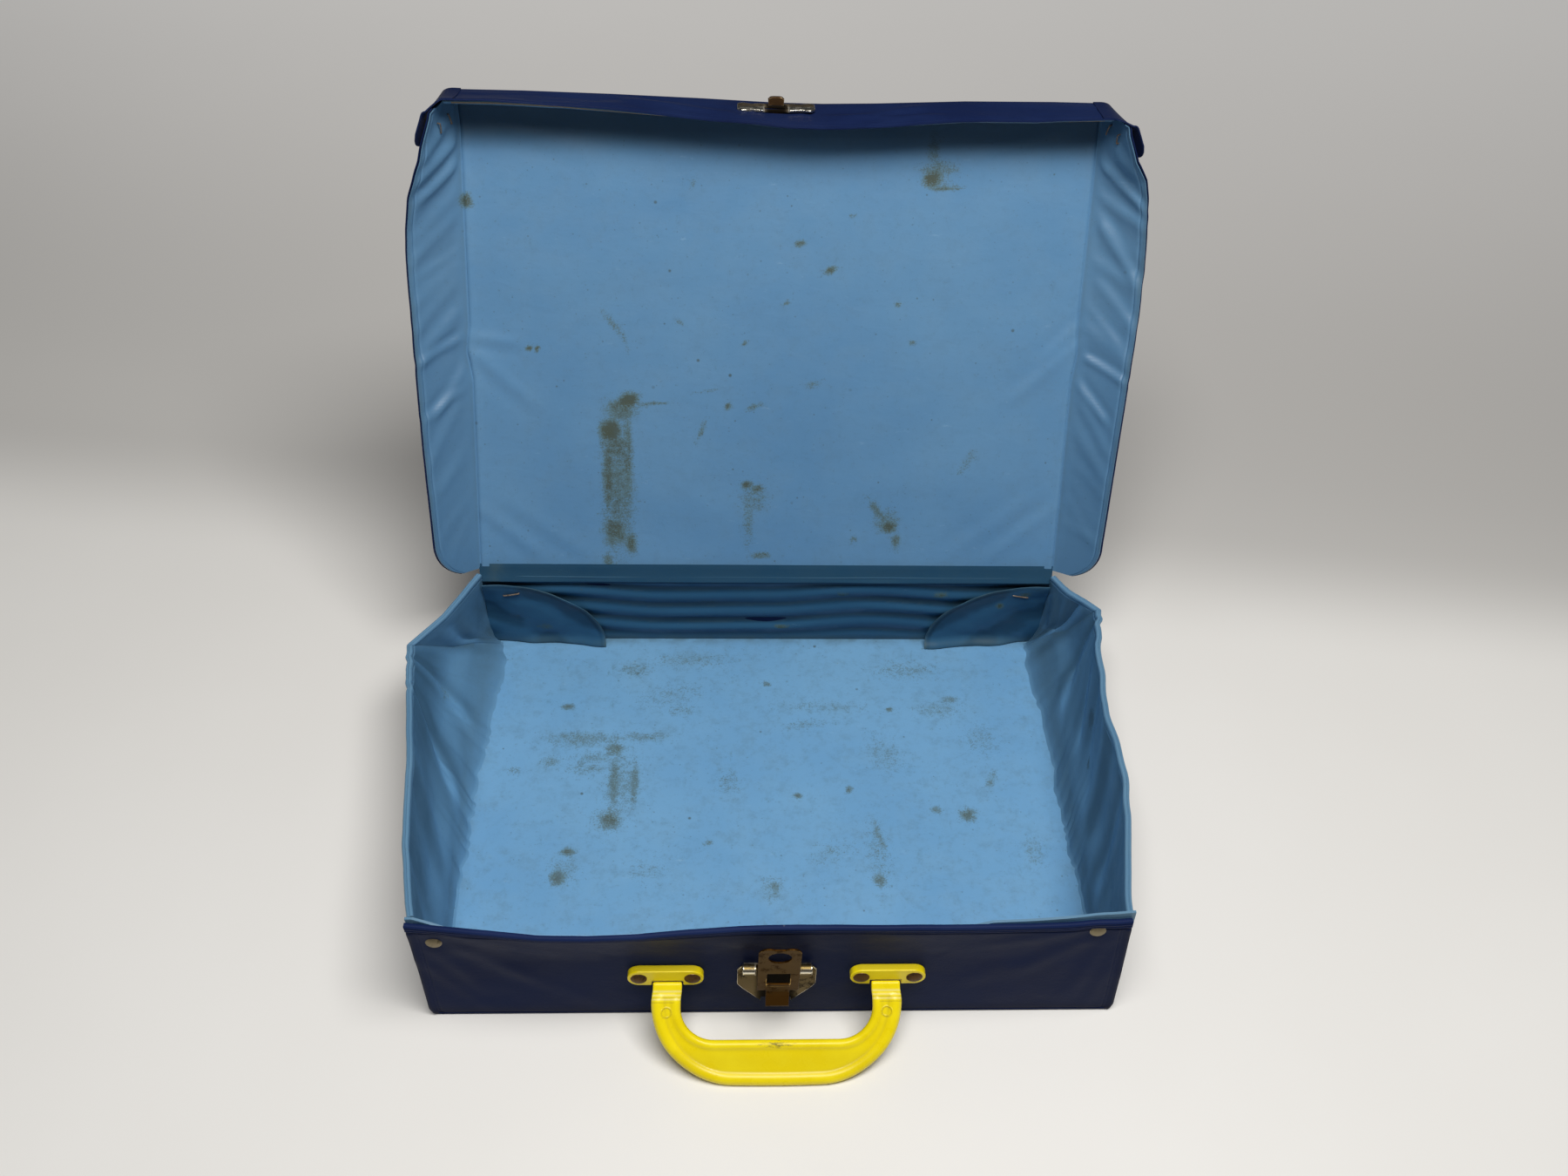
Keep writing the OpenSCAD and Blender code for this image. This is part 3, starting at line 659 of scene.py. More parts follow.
def turn_in(side):
    """The side wall's front end turned in behind the front wall, showing above its rim."""
    places, heights = TURN_IN[side]
    x = np.linspace(places[0], places[-1], 70)
    low, edge = (front_point(x, np.full_like(x, z)) for z in (60.0, FRONT_H))
    above = points_of(0 * x, 0 * x, np.interp(x, places, heights))
    rows = []
    for share in steps((0, 0.8, 8), (0.84, 1, 6)):
        rows.append(low * (1 - share) + (edge + above) * share + FORWARD * (3.0 - 0.5 * share))
    return shell(f"{WORD[side]}_front_turn_in_vinyl", np.stack(rows, 1), -FORWARD, -0.55, 0.55, BLUE_RIM,
                 soil=0.15, stain=0.0)


# top edges of the side walls from the front corner to the crease, and on to the hinge
SIDE_TOP = {
    -1: ([(-151.6, -111.5, 73.6), (-153.4, -104, 73.0), (-157.0, -87, 71.4), (-161.5, -58.6, 68.4),
    (-165.5, -28, 65.4), (-170.0, 4.9, 62.4), (-174.8, 34, 60.0), (-177.6, 53.8, 58.6)],
    [(-177.6, 53.8, 58.6), (-170.5, 65, 57.6), (-163.5, 76, 56.6), (-156.6, 92, 55.6),
    (-150.6, 107.4, 54.2)]),
    1: ([(147.0, -111.0, 73.6), (147.6, -104, 73.0), (150.8, -88, 71.6), (157.0, -58, 68.6),
    (160.2, -32, 66.2), (160.8, -6, 63.8), (160.8, 18, 61.6), (164.0, 52, 59.4), (169.6, 80, 57.6)],
    [(169.6, 80, 57.6), (163.0, 88, 57.0), (156.6, 95, 56.0), (150.8, 107.4, 54.4)])}
# how far the lining stands in from the foot of the wall, at distances from front to back
LOOSE = {
    -1: ([-112, -40, 11, 40, 65, 93, 104, 111], [1.0, 0.3, 0.6, 2.0, 4.0, 6.0, 5.0, 2.5]),
    1: ([-112, -40, 0, 39, 81, 104, 111], [1.0, 0.8, 1.6, 1.4, 4.0, 5.0, 3.0])}
# share of the way to the crease at which the wall's foot and top begin their fan
FAN = {-1: 0.52, 1: 0.66}
FAN_SPAN, HINGE_T = 0.42, 0.3
SIDE_FOLDS = {
    -1: [(0.60, 0.92, 0.50, 0.30, 0.030, 1.6), (0.86, 0.95, 0.72, 0.25, 0.028, 1.1),
    (0.36, 0.9, 0.30, 0.4, 0.035, -0.9), (1.12, 0.8, 1.05, 0.25, 0.03, 0.9),
    (0.15, 0.95, 0.12, 0.5, 0.03, 0.7)],
    1: [(0.90, 0.95, 0.80, 0.30, 0.030, 1.4), (1.10, 0.90, 1.04, 0.2, 0.026, 1.6),
    (0.72, 0.92, 0.66, 0.45, 0.030, 1.1), (0.46, 0.95, 0.44, 0.4, 0.035, -1.2),
    (0.30, 0.95, 0.27, 0.35, 0.030, 1.1), (1.22, 0.8, 1.12, 0.3, 0.024, -1.0),
    (0.58, 0.95, 0.56, 0.6, 0.03, 0.9)]}


def side_edges(side, t):
    """Foot and top of a side wall at t: 0 is the front corner, 1 the crease and 1.3 the hinge corner."""
    front, rear = SIDE_TOP[side]
    fan = FAN[side]
    before, later = t <= fan, np.clip((t - fan) / (1 - fan), 0, 1)
    past = np.clip((t - 1) / HINGE_T, 0, 1)
    foot_y = np.where(before, -112.0 + t / fan * 122.0 * (0.92 if side < 0 else 1.0), 0.0)
    reach = foot_y[before].max()
    foot_y = np.where(before, foot_y, reach + (106.0 - reach) * later ** 0.9)
    foot_y = np.where(t > 1, 106.0 + 5.5 * past, foot_y)
    foot = points_of(np.full_like(t, side * HALF_W), foot_y, np.full_like(t, 0.6))
    # beyond the fan the top stays close to the crease
    spare = (1 - fan) * FAN_SPAN
    top_t = np.where(before, t / fan * (1 - spare), 1 - spare * (1 - later))
    top = np.where((t <= 1)[:, None], path_at(front, np.clip(top_t, 0, 1)), path_at(rear, past))
    return foot, soften(top, 2)


def side_wall(side):
    word, outward = WORD[side], side * ACROSS
    t = steps((0, 1, 121), (0.97, 1.03, 13), (1, 1.3, 37), once=True)
    s = steps((0, 0.1, 5), (0.1, 1, 31), once=True)
    foot, top = side_edges(side, t)
    T, S = grid(t, s)
    base = foot[:, None] * (1 - S[..., None]) + top[:, None] * S[..., None]
    belly = 4 * S * (1 - S) * np.interp(T, [0, 0.25, 0.5, 0.9, 1.0, 1.15, 1.3],
                                        [0.4, 1.6, 2.4, 0.8, 0.0, -1.2, 0.0])
    wave = folds(T, S, SIDE_FOLDS[side]) * smooth(0.02, 0.2, S)
    wave = wave + 0.35 * rough(T * 9 + side * 4, S * 2.2, 40) * smooth(0.1, 0.5, S)
    base[..., 0] += side * (belly + wave)
    skin = shell(f"{word}_wall_outer_vinyl", base, outward, -SKIN_T, 0.0, NAVY_TRAY, f"{word}_wall_skin",
                 uv=points_of(T * 210, S * 70), soil=0.7 * bell(S, 0.06))
    # stiffening card ends before the gusset
    board = base[np.ix_((t > 0.02) & (t < 0.80), (s > 0.06) & (s < 0.93))]
    card = shell(f"{word}_wall_card", board, outward, -1.78, -0.66, CARD, f"{word}_wall_board")
    # the lining comes down inside, turns over a loose fillet and lies on the floor
    keep_in = 1.8 + 0.6 * smooth(0.0, 0.3, T) * (1 - smooth(0.9, 1.0, T))
    inner = base - normals(base, outward) * np.minimum(keep_in, 0.6 + 3 * (1 - S) + 0.9)[..., None]
    corner = foot - outward * 2.6
    corner[:, 2] = FLOOR_T + 0.25
    # in the gusset the foot gathers in the floor's corner
    corner[:, 1] = np.minimum(corner[:, 1], 110.2)
    scallop = 2.4 * np.abs(value_noise(t * 16 + side * 9, 0 * t, 77)) + 1.6 * np.abs(value_noise(t * 37,
        0 * t, 78))
    loose = np.interp(corner[:, 1], *LOOSE[side])
    loose = loose + scallop * np.interp(corner[:, 1], [-112, -60, 0, 104, 111], [0, 0.5, 1, 1, 0])
    rise = 9.0 + 1.5 * loose
    toe = corner - outward * loose[:, None]
    knee = corner + unit(top - foot) * rise[:, None] - outward * (0.30 * loose)[:, None]
    rows = [toe - outward * 1.5 - UPWARD * 0.9]
    for q in np.linspace(0.0, 1, 9):
        rows.append(toe * (1 - q) ** 2 + (toe * 0.65 + knee * 0.35 + outward * 0.6) * 2 * q * (1 - q)
                    + knee * q ** 2)
    reach = rise / np.linalg.norm(top - foot, axis=1)
    at = np.arange(len(t))
    for share in np.linspace(0.04, 1, 26):
        exact = np.interp(reach + (1 - reach) * share, s, np.arange(len(s)))
        low = np.clip(np.floor(exact).astype(int), 0, len(s) - 2)
        part = (exact - low)[:, None]
        wall = inner[at, low] * (1 - part) + inner[at, low + 1] * part
        ease = smooth(0.0, 0.4, share)
        rows.append(wall * ease + (knee + (inner[:, -1] - knee) * share) * (1 - ease))
    T, H = grid(t, np.linspace(0, 1, len(rows)))
    # darker low on the fillet, along the crease and into the gusset: painted shade where the lining folds
    soil = 0.35 * bell(H - 0.18, 0.10) + 0.5 * bell(T - 1.0, 0.02) * (H > 0.3) + 0.25 * smooth(1.0, 1.25, T)
    # each fold is lit on one side and dark on the other
    shade = 0.10 * rough(T * 5.5, H * 2.2, 91 + side)
    shade = shade + 0.30 * (folds(T - 0.022, H, SIDE_FOLDS[side]) - folds(T + 0.022, H, SIDE_FOLDS[side]))
    if side < 0:
        # lit facet in front of the crease, darker under the rim, at the front and in the gusset
        shade = shade + 0.38 + 0.50 * smooth(0.45, 0.80, H) * smooth(1.0, 0.92, T) + 0.30 * smooth(0.30,
            0.05, T) \
            + 0.25 * smooth(0.93, 1.02, T) - 0.26 * smooth(0.40, 0.02, H) * smooth(1.05, 0.9, T)
    else:
        shade = shade + 0.60 + 0.16 * smooth(0.35, 0.05, T) - 0.18 * smooth(0.22, 0.0, H) \
            - 0.35 * bell(T - 0.72, 0.12) * smooth(0.5, 0.9, H) + 0.2 * smooth(1.0, 1.1, T)
    lining = shell(f"{word}_wall_inner_vinyl", np.stack(rows, 1), -outward, 0.0, LINING_T, BLUE_WALL,
                   f"{word}_wall_lining", soil=np.clip(soil, 0, 1),
                   stain=spots(T * 200, H * 80, WALL_STAINS[side]),
                   shade=np.clip(shade, 0, 1))
    # welded rim along the top
    ridge = base[:, -1]
    up = unit(soften(ridge - base[:, -4], 8))
    out = np.cross(unit(np.gradient(ridge, axis=0)), up)
    out = unit(soften(out, 12)) * (1 if out[40, 0] * side > 0 else -1)
    profile = [(0.3, -3.2), (0.35, -2.4), (0.05, -1.95), (0.35, -1.5), (0.45, -0.4), (0.5, 0.2),
               (0.35, 0.8),
               (0.0, 1.25), (-0.45, 1.35), (-0.85, 0.95), (-1.25, 1.35), (-1.8, 1.3), (-2.3, 0.9),
               (-2.5, 0.2),
               (-2.45, -0.5), (-2.4, -1.5), (-2.1, -1.95), (-2.3, -2.4), (-2.2, -3.2)]
    rim = sweep(f"{word}_wall_rim", ridge, out, up, profile, [BLUE_RIM])
    return [skin, card, lining, finish_piece(rim, f"{word}_rim")]


WALL_STAINS = {
    -1: [(150, 40, 8, 6, 0, 0.35)],
    1: [(118, 55, 3.0, 5.5, 10, 0.9), (106, 42, 2.0, 3.5, 0, 0.7)]}
FLOOR_STAINS = [
    (-74, 12, 10, 26, 0, 0.42), (-92, 40, 26, 6, 0, 0.50), (-88, 28, 14, 5, 0, 0.45),
    (-79, -10, 9, 9, 0, 0.55), (-99, -40, 9, 9, 0, 0.40), (90, 60, 16, 6, 0, 0.40),
    (-50, 70, 22, 10, 10, 0.32), (52, -32, 7, 22, 8, 0.36), (0, -50, 7, 9, 0, 0.40),
    (30, 62, 30, 5, 0, 0.34), (-99, 42, 16, 3, 0, 0.55), (-63, 42, 16, 4, 0, 0.50),
    (-78, 34, 5, 6, 0, 0.75), (-77.5, 12, 3.4, 22, 0, 0.72), (-67.4, 12, 2.8, 17, 0, 0.72),
    (-78.4, -11, 5.5, 5.5, 0, 1.0), (-97.4, -29, 4.5, 2.4, 0, 0.95), (-101, -44, 4.5, 5, 0, 0.95),
    (1.7, -50.5, 2.4, 6, 0, 0.65), (51.6, -46, 3.4, 4.2, 0, 0.85), (53.4, -20.7, 2.6, 12, 15, 0.6),
    (98, -8, 5, 4.5, 0, 0.85), (82.6, -5, 3.5, 2.6, 0, 0.75), (96.6, 67, 6, 3, 0, 0.6),
    (-92, 22, 12, 6, 0, 0.45), (-110, 26, 6, 4, 0, 0.5), (-45, 60, 9, 5, 0, 0.42),
    (20, 50, 14, 4, 10, 0.42), (60, 30, 10, 14, 30, 0.36), (-20, 12, 7, 10, 0, 0.40),
    (30, -30, 14, 7, 20, 0.34), (110, 40, 10, 12, 0, 0.36), (-60, -40, 12, 8, 0, 0.30),
    (75, 88, 20, 8, 0, 0.40), (-40, 95, 26, 6, 0, 0.40), (0, 78, 3, 2, 0, 0.8),
    (-128, 20, 4, 3, 0, 0.5), (-70, 88, 10, 6, 0, 0.5), (-104, 62, 4, 2.2, 0, 0.85),
    (64, 60, 2.4, 1.6, 0, 0.9), (112, 14, 3, 8, -20, 0.5), (128, -30, 6, 10, 0, 0.4),
    (14, 4, 3, 2, 0, 0.75), (-30, -24, 3, 1.6, 30, 0.7), (40, 8, 2, 3, 0, 0.8)]


def floor_pieces():
    # outer skin under the tray, with rounded welded edges
    bm = bmesh.new()
    bmesh.ops.create_cube(bm, size=1.0)
    for v in bm.verts:
        v.co = Vector((v.co.x * 2 * HALF_W, v.co.y * 2 * HALF_D, (v.co.z + 0.5) * 1.4)) * MM
    upright = [e for e in bm.edges if abs(e.verts[0].co.z - e.verts[1].co.z) > 0.5 * MM]
    bmesh.ops.bevel(bm, geom=upright, offset=2.2 * MM, segments=6, affect="EDGES", profile=0.5)
    low = [e for e in bm.edges if e.verts[0].co.z < 0.1 * MM and e.verts[1].co.z < 0.1 * MM]
    bmesh.ops.bevel(bm, geom=low, offset=0.9 * MM, segments=4, affect="EDGES", profile=0.5)
    mesh = bpy.data.meshes.new("underside_vinyl")
    bm.to_mesh(mesh)
    bm.free()
    layer = mesh.uv_layers.new(name="sheet")
    for loop in mesh.loops:
        co = mesh.vertices[loop.vertex_index].co
        layer.data[loop.index].uv = (co.x * 10, co.y * 10)
    mesh.materials.append(NAVY_TRAY)
    shade_smooth(mesh)
    mesh.set_sharp_from_angle(angle=math.radians(35))
    put_values(mesh, {"soil": np.zeros(len(mesh.vertices))})
    finish_piece(add_object("underside_vinyl", mesh), "floor_skin", "tray")
    # lining on the floor, which stops short of the walls' feet
    half, front, back = 147.4, -110.6, 111.4
    X, Y = grid(np.linspace(-half, half, 201), np.linspace(front, back, 149))
    near = np.minimum(half - np.abs(X), np.minimum(Y - front, back - Y))
    height = FLOOR_T - 0.25 + 0.14 * rough(X / 28, Y / 28, 5) * smooth(0, 20, near)
    height = height + folds(X, Y, [(-60, 98, -20, 92, 3, 0.15), (100, 100, 70, 92, 3, 0.15),
                                   (-120, -90, -90, -60, 5, 0.12)])
    # darker towards the rear wall and round the edges
    soil = 0.55 * smooth(104, 111, Y) * (0.6 + 0.4 * rough(X / 6, Y / 4, 9)) + 0.25 * bell(near, 4)
    shell("floor_inner_vinyl", points_of(X, Y, height), UPWARD, -LINING_T + 0.15, 0.15, BLUE_FLOOR,
          "floor_lining",
          "tray", points_of(X, Y) + 160, stain=0.84 * spots(X, Y, FLOOR_STAINS), soil=np.clip(soil, 0, 1))


REAR_STAINS = [
    (8, 14, 4, 1.6, 0, 0.8), (40, 40, 3, 2, 0, 0.6), (-30, 33, 8, 1.5, 0, 0.4),
    (92, 40, 4, 2.5, 0, 0.7)]


def rear_wall():
    half = 148.8
    X, Z = grid(np.linspace(-half, half, 181), steps((2.9, 52.8, 60), (48, 52.8, 8), once=True))
    fade = smooth(0, 30, half - np.abs(X))
    ripple = 1.2 * np.sin(2 * np.pi * (Z + 3.0 * value_noise(X / 55, 0 * X, 21)) / 12.5 + 0.7) * smooth(2,
        14, Z)
    ripple = ripple * (0.75 + 0.35 * value_noise(X / 38, Z / 16, 23)) * fade * (1 - 0.6 * smooth(46, 52, Z))
    inner_y = HALF_D - Z * REAR_LEAN - 1.5 - 1.2 * fade - ripple
    # darker at the foot and under the hinge, and in the ripples' troughs, where it is painted shade like
    # the shade value below
    soil = np.clip(0.65 * bell(Z - 3, 3) + 0.30 * (ripple < -0.5) + 0.35 * smooth(47, 52, Z), 0, 1)
    shell("rear_wall_inner_vinyl", points_of(X, inner_y, Z), -FORWARD, -LINING_T, 0.0, BLUE_REAR,
          "rear_wall_lining",
          "tray", points_of(X, Z), soil=soil, stain=spots(X, Z, REAR_STAINS),
          shade=0.8 * smooth(0.2, -0.9, ripple))
    half = 149.6
    X, Z = grid(np.linspace(-half, half, 151), np.linspace(0.3, 50.0, 40))
    sag = 0.9 * rough(X / 45, Z / 22, 25) * smooth(0, 20, half - np.abs(X)) * smooth(2, 14, Z)
    out = HALF_D - Z * REAR_LEAN - 0.3 + np.minimum(sag, 0.6) - 1.2 * np.clip(1 - Z / 3, 0, 1) ** 2
    shell("rear_wall_outer_vinyl", points_of(X, out, Z), FORWARD, -SKIN_T, 0.0, NAVY_TRAY, "rear_wall_skin",
          "tray",
          points_of(X, Z), soil=0.5 * bell(Z, 4))


def rear_flap(side):
    """A side wall's end folded round onto the rear wall, with a quarter-round free edge."""
    R, A = grid(steps((0.02, 0.9, 26), (0.92, 1.0, 8)), steps((0, 0.12, 8), (0.15, math.pi / 2, 40)))
    across, up = 62 * R * np.cos(A), 46.6 * R * np.sin(A)
    Z = 3.4 + up
    lifted = 1.7 * smooth(0.75, 1.0, R) + 2.4 * bell(up, 3.0) * smooth(10, 30, across)
    wave = 0.9 * np.sin(across / 7 + up / 5.5) * smooth(0.1, 0.5, R) * 0.8 + 0.6 * rough(across / 16,
        up / 12, 31 + side)
    if side > 0:
        lifted = lifted + 1.6 * bell(up, 2.5) * smooth(6, 20, across)
    Y = HALF_D - Z * REAR_LEAN - 4.7 - lifted - wave * 0.8
    # darker at the foot and the top, with a dark line along the free edge painted as the edge's shadow
    soil = np.clip(0.5 * bell(up, 4) + 0.25 * smooth(36, 46, up) + 0.6 * smooth(0.97, 1.0, R), 0, 1)
    stains = [(24, 30, 2.2, 2.0, 0, 0.95), (12, 40, 4, 2, 0, 0.6)] if side > 0 else [(30, 12, 5, 3, 0, 0.5)]
    # painted shade in the wave's troughs and along the free edge
    crease_shade = 0.75 * smooth(0.1, -0.7, wave) - 0.15 + 0.5 * bell(R - 0.965, 0.018)
    shell(f"{WORD[side]}_rear_flap_vinyl", points_of(side * (148.4 - across), Y, Z), -FORWARD, -LINING_T,
          0.0, BLUE_REAR,
          f"{WORD[side]}_rear_flap", "tray", points_of(across, up), soil=soil,
          stain=spots(across, up, stains),
          shade=np.clip(crease_shade, 0, 1))


# ---- lid ----

# how far beyond its nominal line the lid's front fold lies, and how far the lip's free edge stands out
FOLD_SHIFT = [
    (-151, 3.8), (-117, 3.6), (-77, 2.8), (-37, 1.6), (-12, 0.6), (0, 0.2), (20, 0.0), (45, 0.6),
    (86, 2.2), (127, 2.6), (151, 2.4)]
LIP_SHIFT = [
    (-151, 3.2), (-130, 3.5), (-99, 2.6), (-68, 0.7), (-36, -0.8), (-12, -2.2), (4, -3.4), (27, -3.2),
    (51, -2.4), (83, -1.1), (115, -1.3), (148, 0.8), (151, 0.8)]
# how far the lid's right side spreads towards its front edge
SPREAD = 2.4 * 1.6


def lid_x(x, u):
    return x + SPREAD * np.clip(u / LID_L, 0, 1) * np.clip((x + 151) / 302, 0, 1)


def lid_point(x, u, w):
    """A point of the lid from its own coordinates: across, along from the hinge, and inwards."""
    x, u, w = np.broadcast_arrays(x, u, w)
    return HINGE + lid_x(x, u)[..., None] * ACROSS + u[..., None] * ALONG + w[..., None] * INWARD


LID_FOLDS = [
    (-146, 114, -124, 94, 3.6, 0.55), (-147, 122, -132, 120, 3.0, 0.5), (147, 118, 126, 98, 3.6, 0.6),
    (148, 128, 136, 116, 2.8, 0.5), (-143, 30, -124, 14, 3.4, 0.42), (-128, 34, -100, 14, 4.0, 0.32),
    (143, 32, 122, 14, 3.4, 0.42), (130, 38, 100, 14, 4.0, 0.30), (-120, 150, -70, 160, 12.0, 0.3),
    (30, 60, 80, 70, 12.0, -0.25), (90, 150, 120, 120, 10.0, 0.25), (-60, 40, -20, 30, 11.0, 0.25),
    (100, 214, 128, 222, 3.0, 0.25), (-120, 218, -96, 212, 4.0, 0.25)]


def lid_height(x, u):
    """How far the lining stands off its flat level."""
    inside = smooth(0, 26, u) * smooth(0, 12, LID_L - 4 - u)
    return folds(x, u, LID_FOLDS) + 0.22 * rough(x / 46, u / 46, 3) * inside - 0.35 * smooth(218, 230, u)


LID_STAINS = [
    (-77, 42, 9.0, 34, 0, 0.60), (-78, 66, 8.0, 10, 0, 0.75), (-75, 86, 9, 7, 0, 0.70),
    (76, 204, 10, 5, 0, 0.55), (-8, 40, 9, 9, 0, 0.42), (60, 28, 8, 7, 30, 0.50),
    (73, 200, 5.0, 4.5, 0, 1.05), (80, 196, 9, 1.3, 0, 0.8), (73, 214, 3.4, 11, 0, 0.50),
    (-71.6, 90.6, 6.5, 4.0, 20, 1.05), (-80.6, 75, 6.0, 6.5, 0, 1.1), (-82, 52, 3.4, 26, 0, 0.78),
    (-72, 60, 2.6, 28, 0, 0.72), (-60, 89, 12, 1.0, 4, 0.62), (-79, 22, 7.0, 10, 0, 0.80),
    (-83, 4, 3.0, 7, 0, 0.72), (-71, 15, 3.2, 7, 0, 0.80), (-12, 47, 3.4, 2.6, 0, 0.85),
    (-7, 45, 4.0, 2.4, 0, 0.80), (-11, 28, 3.0, 18, 0, 0.45), (-4, 9, 6, 2, 0, 0.7),
    (62, 25, 4.6, 3.8, 0, 0.92), (55, 34, 2.4, 9, 35, 0.62), (66, 17, 3, 5, 0, 0.6),
    (11.5, 169, 3.0, 1.8, 10, 0.85), (26.6, 156.4, 3.4, 2.0, 20, 0.88),
    (-119.5, 116.6, 1.6, 1.5, 0, 1.05), (-115.5, 116.2, 1.5, 1.5, 0, 1.05),
    (-146, 187, 3.4, 3.8, 0, 0.85), (-79.4, 130, 2.0, 9, 35, 0.52), (-73, 122, 1.6, 7, 20, 0.45),
    (-22, 88, 2.0, 2.0, 0, 0.85), (-9, 88, 5.0, 1.6, 20, 0.62), (-35, 76, 1.5, 7, -20, 0.55),
    (60, 140, 2, 1.4, 0, 0.75), (68, 121, 1.8, 1.2, 0, 0.8), (-32, 96, 10, 1, 10, 0.4),
    (100, 60, 10, 3, 60, 0.35), (20, 100, 4, 2, 0, 0.5), (-46, 130, 2.4, 2, 0, 0.5),
    (-40, 196, 2, 3, 20, 0.42), (6, 140, 2.2, 1.5, 0, 0.6), (36, 182, 2, 1.4, 0, 0.55),
    (-14, 120, 1.6, 1.6, 0, 0.7), (44, 18, 2, 2, 0, 0.6)]


def lid_panel():
    ends = np.array([0.982, 0.988, 0.992, 0.996, 1])
    X, V = grid(np.concatenate([-ends[::-1], np.linspace(-0.975, 0.975, 183), ends]),
                np.linspace(0, 1, 157))
    left, right = (read(FOLD_LINE[side], V * LID_L) - 0.4 for side in WORD)
    X = np.where(X < 0, X * left, X * right)
    U = 2.2 + (LID_L - 3.4 + read(FOLD_SHIFT, X) - 2.2) * V
    beside = np.where(X < 0, X + left, right - X)
    edge = 0.45 * bell(beside - 2.2, 1.4) - 0.7 * smooth(1.2, 0, beside)
    shell("lid_inner_vinyl", lid_point(X, U, lid_height(X, U) + edge), INWARD, -LINING_T, 0.0, BLUE_LID,
          "lid_lining",
          "lid", points_of(X, U) + 160, stain=spots(X, U, LID_STAINS), soil=0.2 * bell(U - 3, 4),
          shade=0.85 * smooth(208, 221, U))
    # outside of the lid: flat over the card, pressed in a little round it
    X, V = grid(np.linspace(-145.5, 145.5, 120), np.linspace(0, 1, 100))
    U = 2.6 + (LID_L - 5.0 + read(FOLD_SHIFT, X) - 2.6) * V
    swell = 0.20 * np.abs(rough(X / 40, U / 40, 61)) + 0.25 * smooth(2, 9, U)
    shell("lid_outer_vinyl", lid_point(X, U, -WALL_T - swell), -INWARD, -SKIN_T, 0.0, NAVY_LID, "lid_skin",
          "lid",
          points_of(X, U) + 160, soil=0.0)


def lip_point(x, w, out):
    """A point of the lip: across, down from the fold, and out from its nominal outer face."""
    x, w, out = np.broadcast_arrays(x, np.asarray(w, float), out)
    out = out + read(LIP_SHIFT, x) * np.clip(w / LIP_H, 0, 1) ** 2.2
    u = LID_L + read(FOLD_SHIFT, x) - w * math.sin(LIP_LEAN) + out * math.cos(LIP_LEAN)
    inward = -WALL_T + w * math.cos(LIP_LEAN) + out * math.sin(LIP_LEAN)
    across = lid_x(x, np.full_like(w, LID_L))
    return HINGE + across[..., None] * ACROSS + u[..., None] * ALONG + inward[..., None] * INWARD


def lip():
    x = np.linspace(-151.6, 151.6, 190)
    w = steps((2.4, 24, 26), (24.3, LIP_H, 12))
    X, W = grid(x, w)
    wave = 0.45 * rough(X / 34, W / 14, 71) * smooth(2, 10, W) + folds(X, W, [
        (-60, 12, -24, 20, 3, 0.5), (60, 10, 30, 19, 3, 0.6), (-110, 14, -80, 18, 4, 0.4),
        (22, 17, 70, 20, 2.4, 0.5)])
    # it lies flat under the strike
    face = lip_point(X, W, wave * smooth(16, 26, np.hypot(X, (W - 11) * 1.4)))
    # the skin comes from the lid's back and round the fold
    bend = 2.2
    rows = [lid_point(x, LID_L + read(FOLD_SHIFT, x) - d, np.full_like(x, -WALL_T - 0.15))
            for d in (5.2, 4.2)]
    middle = lip_point(x, np.full_like(x, w[0]), np.full_like(x, -bend))
    for turn in np.linspace(0, 1, 8) * (math.pi / 2 + LIP_LEAN):
        spoke = -INWARD * math.cos(turn) + ALONG * math.sin(turn)
        rows.append(middle + spoke / np.linalg.norm(spoke) * bend)
    base = np.concatenate([np.stack(rows, 1), face[:, 1:]], 1)
    edge = LIP_H - np.concatenate([np.zeros(len(rows)), w[1:]])[None, :]
    lift = np.broadcast_to(welds(edge, (2.2, 3.6), 0.35, 0.25), base.shape[:2])
    shell("lip_outer_vinyl", base, ALONG - INWARD, lift - SKIN_T, lift, NAVY_LID, "lip_skin", "lid",
          soil=0.2 * bell(base[..., 0], 26))
    X, W = grid(np.linspace(-147, 147, 120), np.linspace(4.2, 24.0, 20))
    shell("lip_card", lip_point(X, W, -0.72 + 0 * X), ALONG, -1.30, 0.0, CARD, "lip_board", "lid")
    X, W = grid(np.linspace(-150.6, 150.6, 150), steps((2.6, 22.5, 22), (23, LIP_H - 1.6, 8)))
    pinch = smooth(21.5, 24.5, W)
    base = lip_point(X, W, -2.15 + 1.45 * pinch + 0.2 * rough(X / 30, W / 12, 73) * (1 - pinch))
    shell("lip_inner_vinyl", base, ALONG, -LINING_T, 0.0, BLUE_LID, "lip_lining", "lid",
          points_of(X, W) + 400,
          stain=spots(X, W, [(73, 12, 4, 8, 0, 0.6), (118, 20, 6, 3, 0, 0.5)]), soil=0.25)


# splay of each flange along the lid, in degrees from square
SPLAY = {
    -1: [(0, 30), (25, 33), (37, 34.5), (59, 38), (94, 41.7), (128, 44), (161, 46.4), (175, 43),
    (189, 36.6), (199, 27), (206, 20), (214, 13), (224, 4), (234, 0)],
    1: [(0, 33), (25, 35), (39, 37.6), (70, 42.6), (105, 50.3), (139, 60), (160, 59), (173, 54.8),
    (190, 48), (202, 39.5), (211, 21), (222, 9), (234, 3)]}
# where each flange leaves the panel
FOLD_LINE = {
    -1: [(0, 149.4), (100, 148.0), (114, 150.2), (127, 148.6), (220, 147.6), (240, 149.5)],
    1: [(0, 150.2), (102, 149.6), (116, 151.0), (130, 150.0), (220, 150.2), (240, 151.0)]}


def corner_shift(side, u):
    """How far the front fold's shift takes a flange along the lid."""
    return np.interp(u, [0, 215, 234], [0, 0, 1]) * read(FOLD_SHIFT, side * 151)


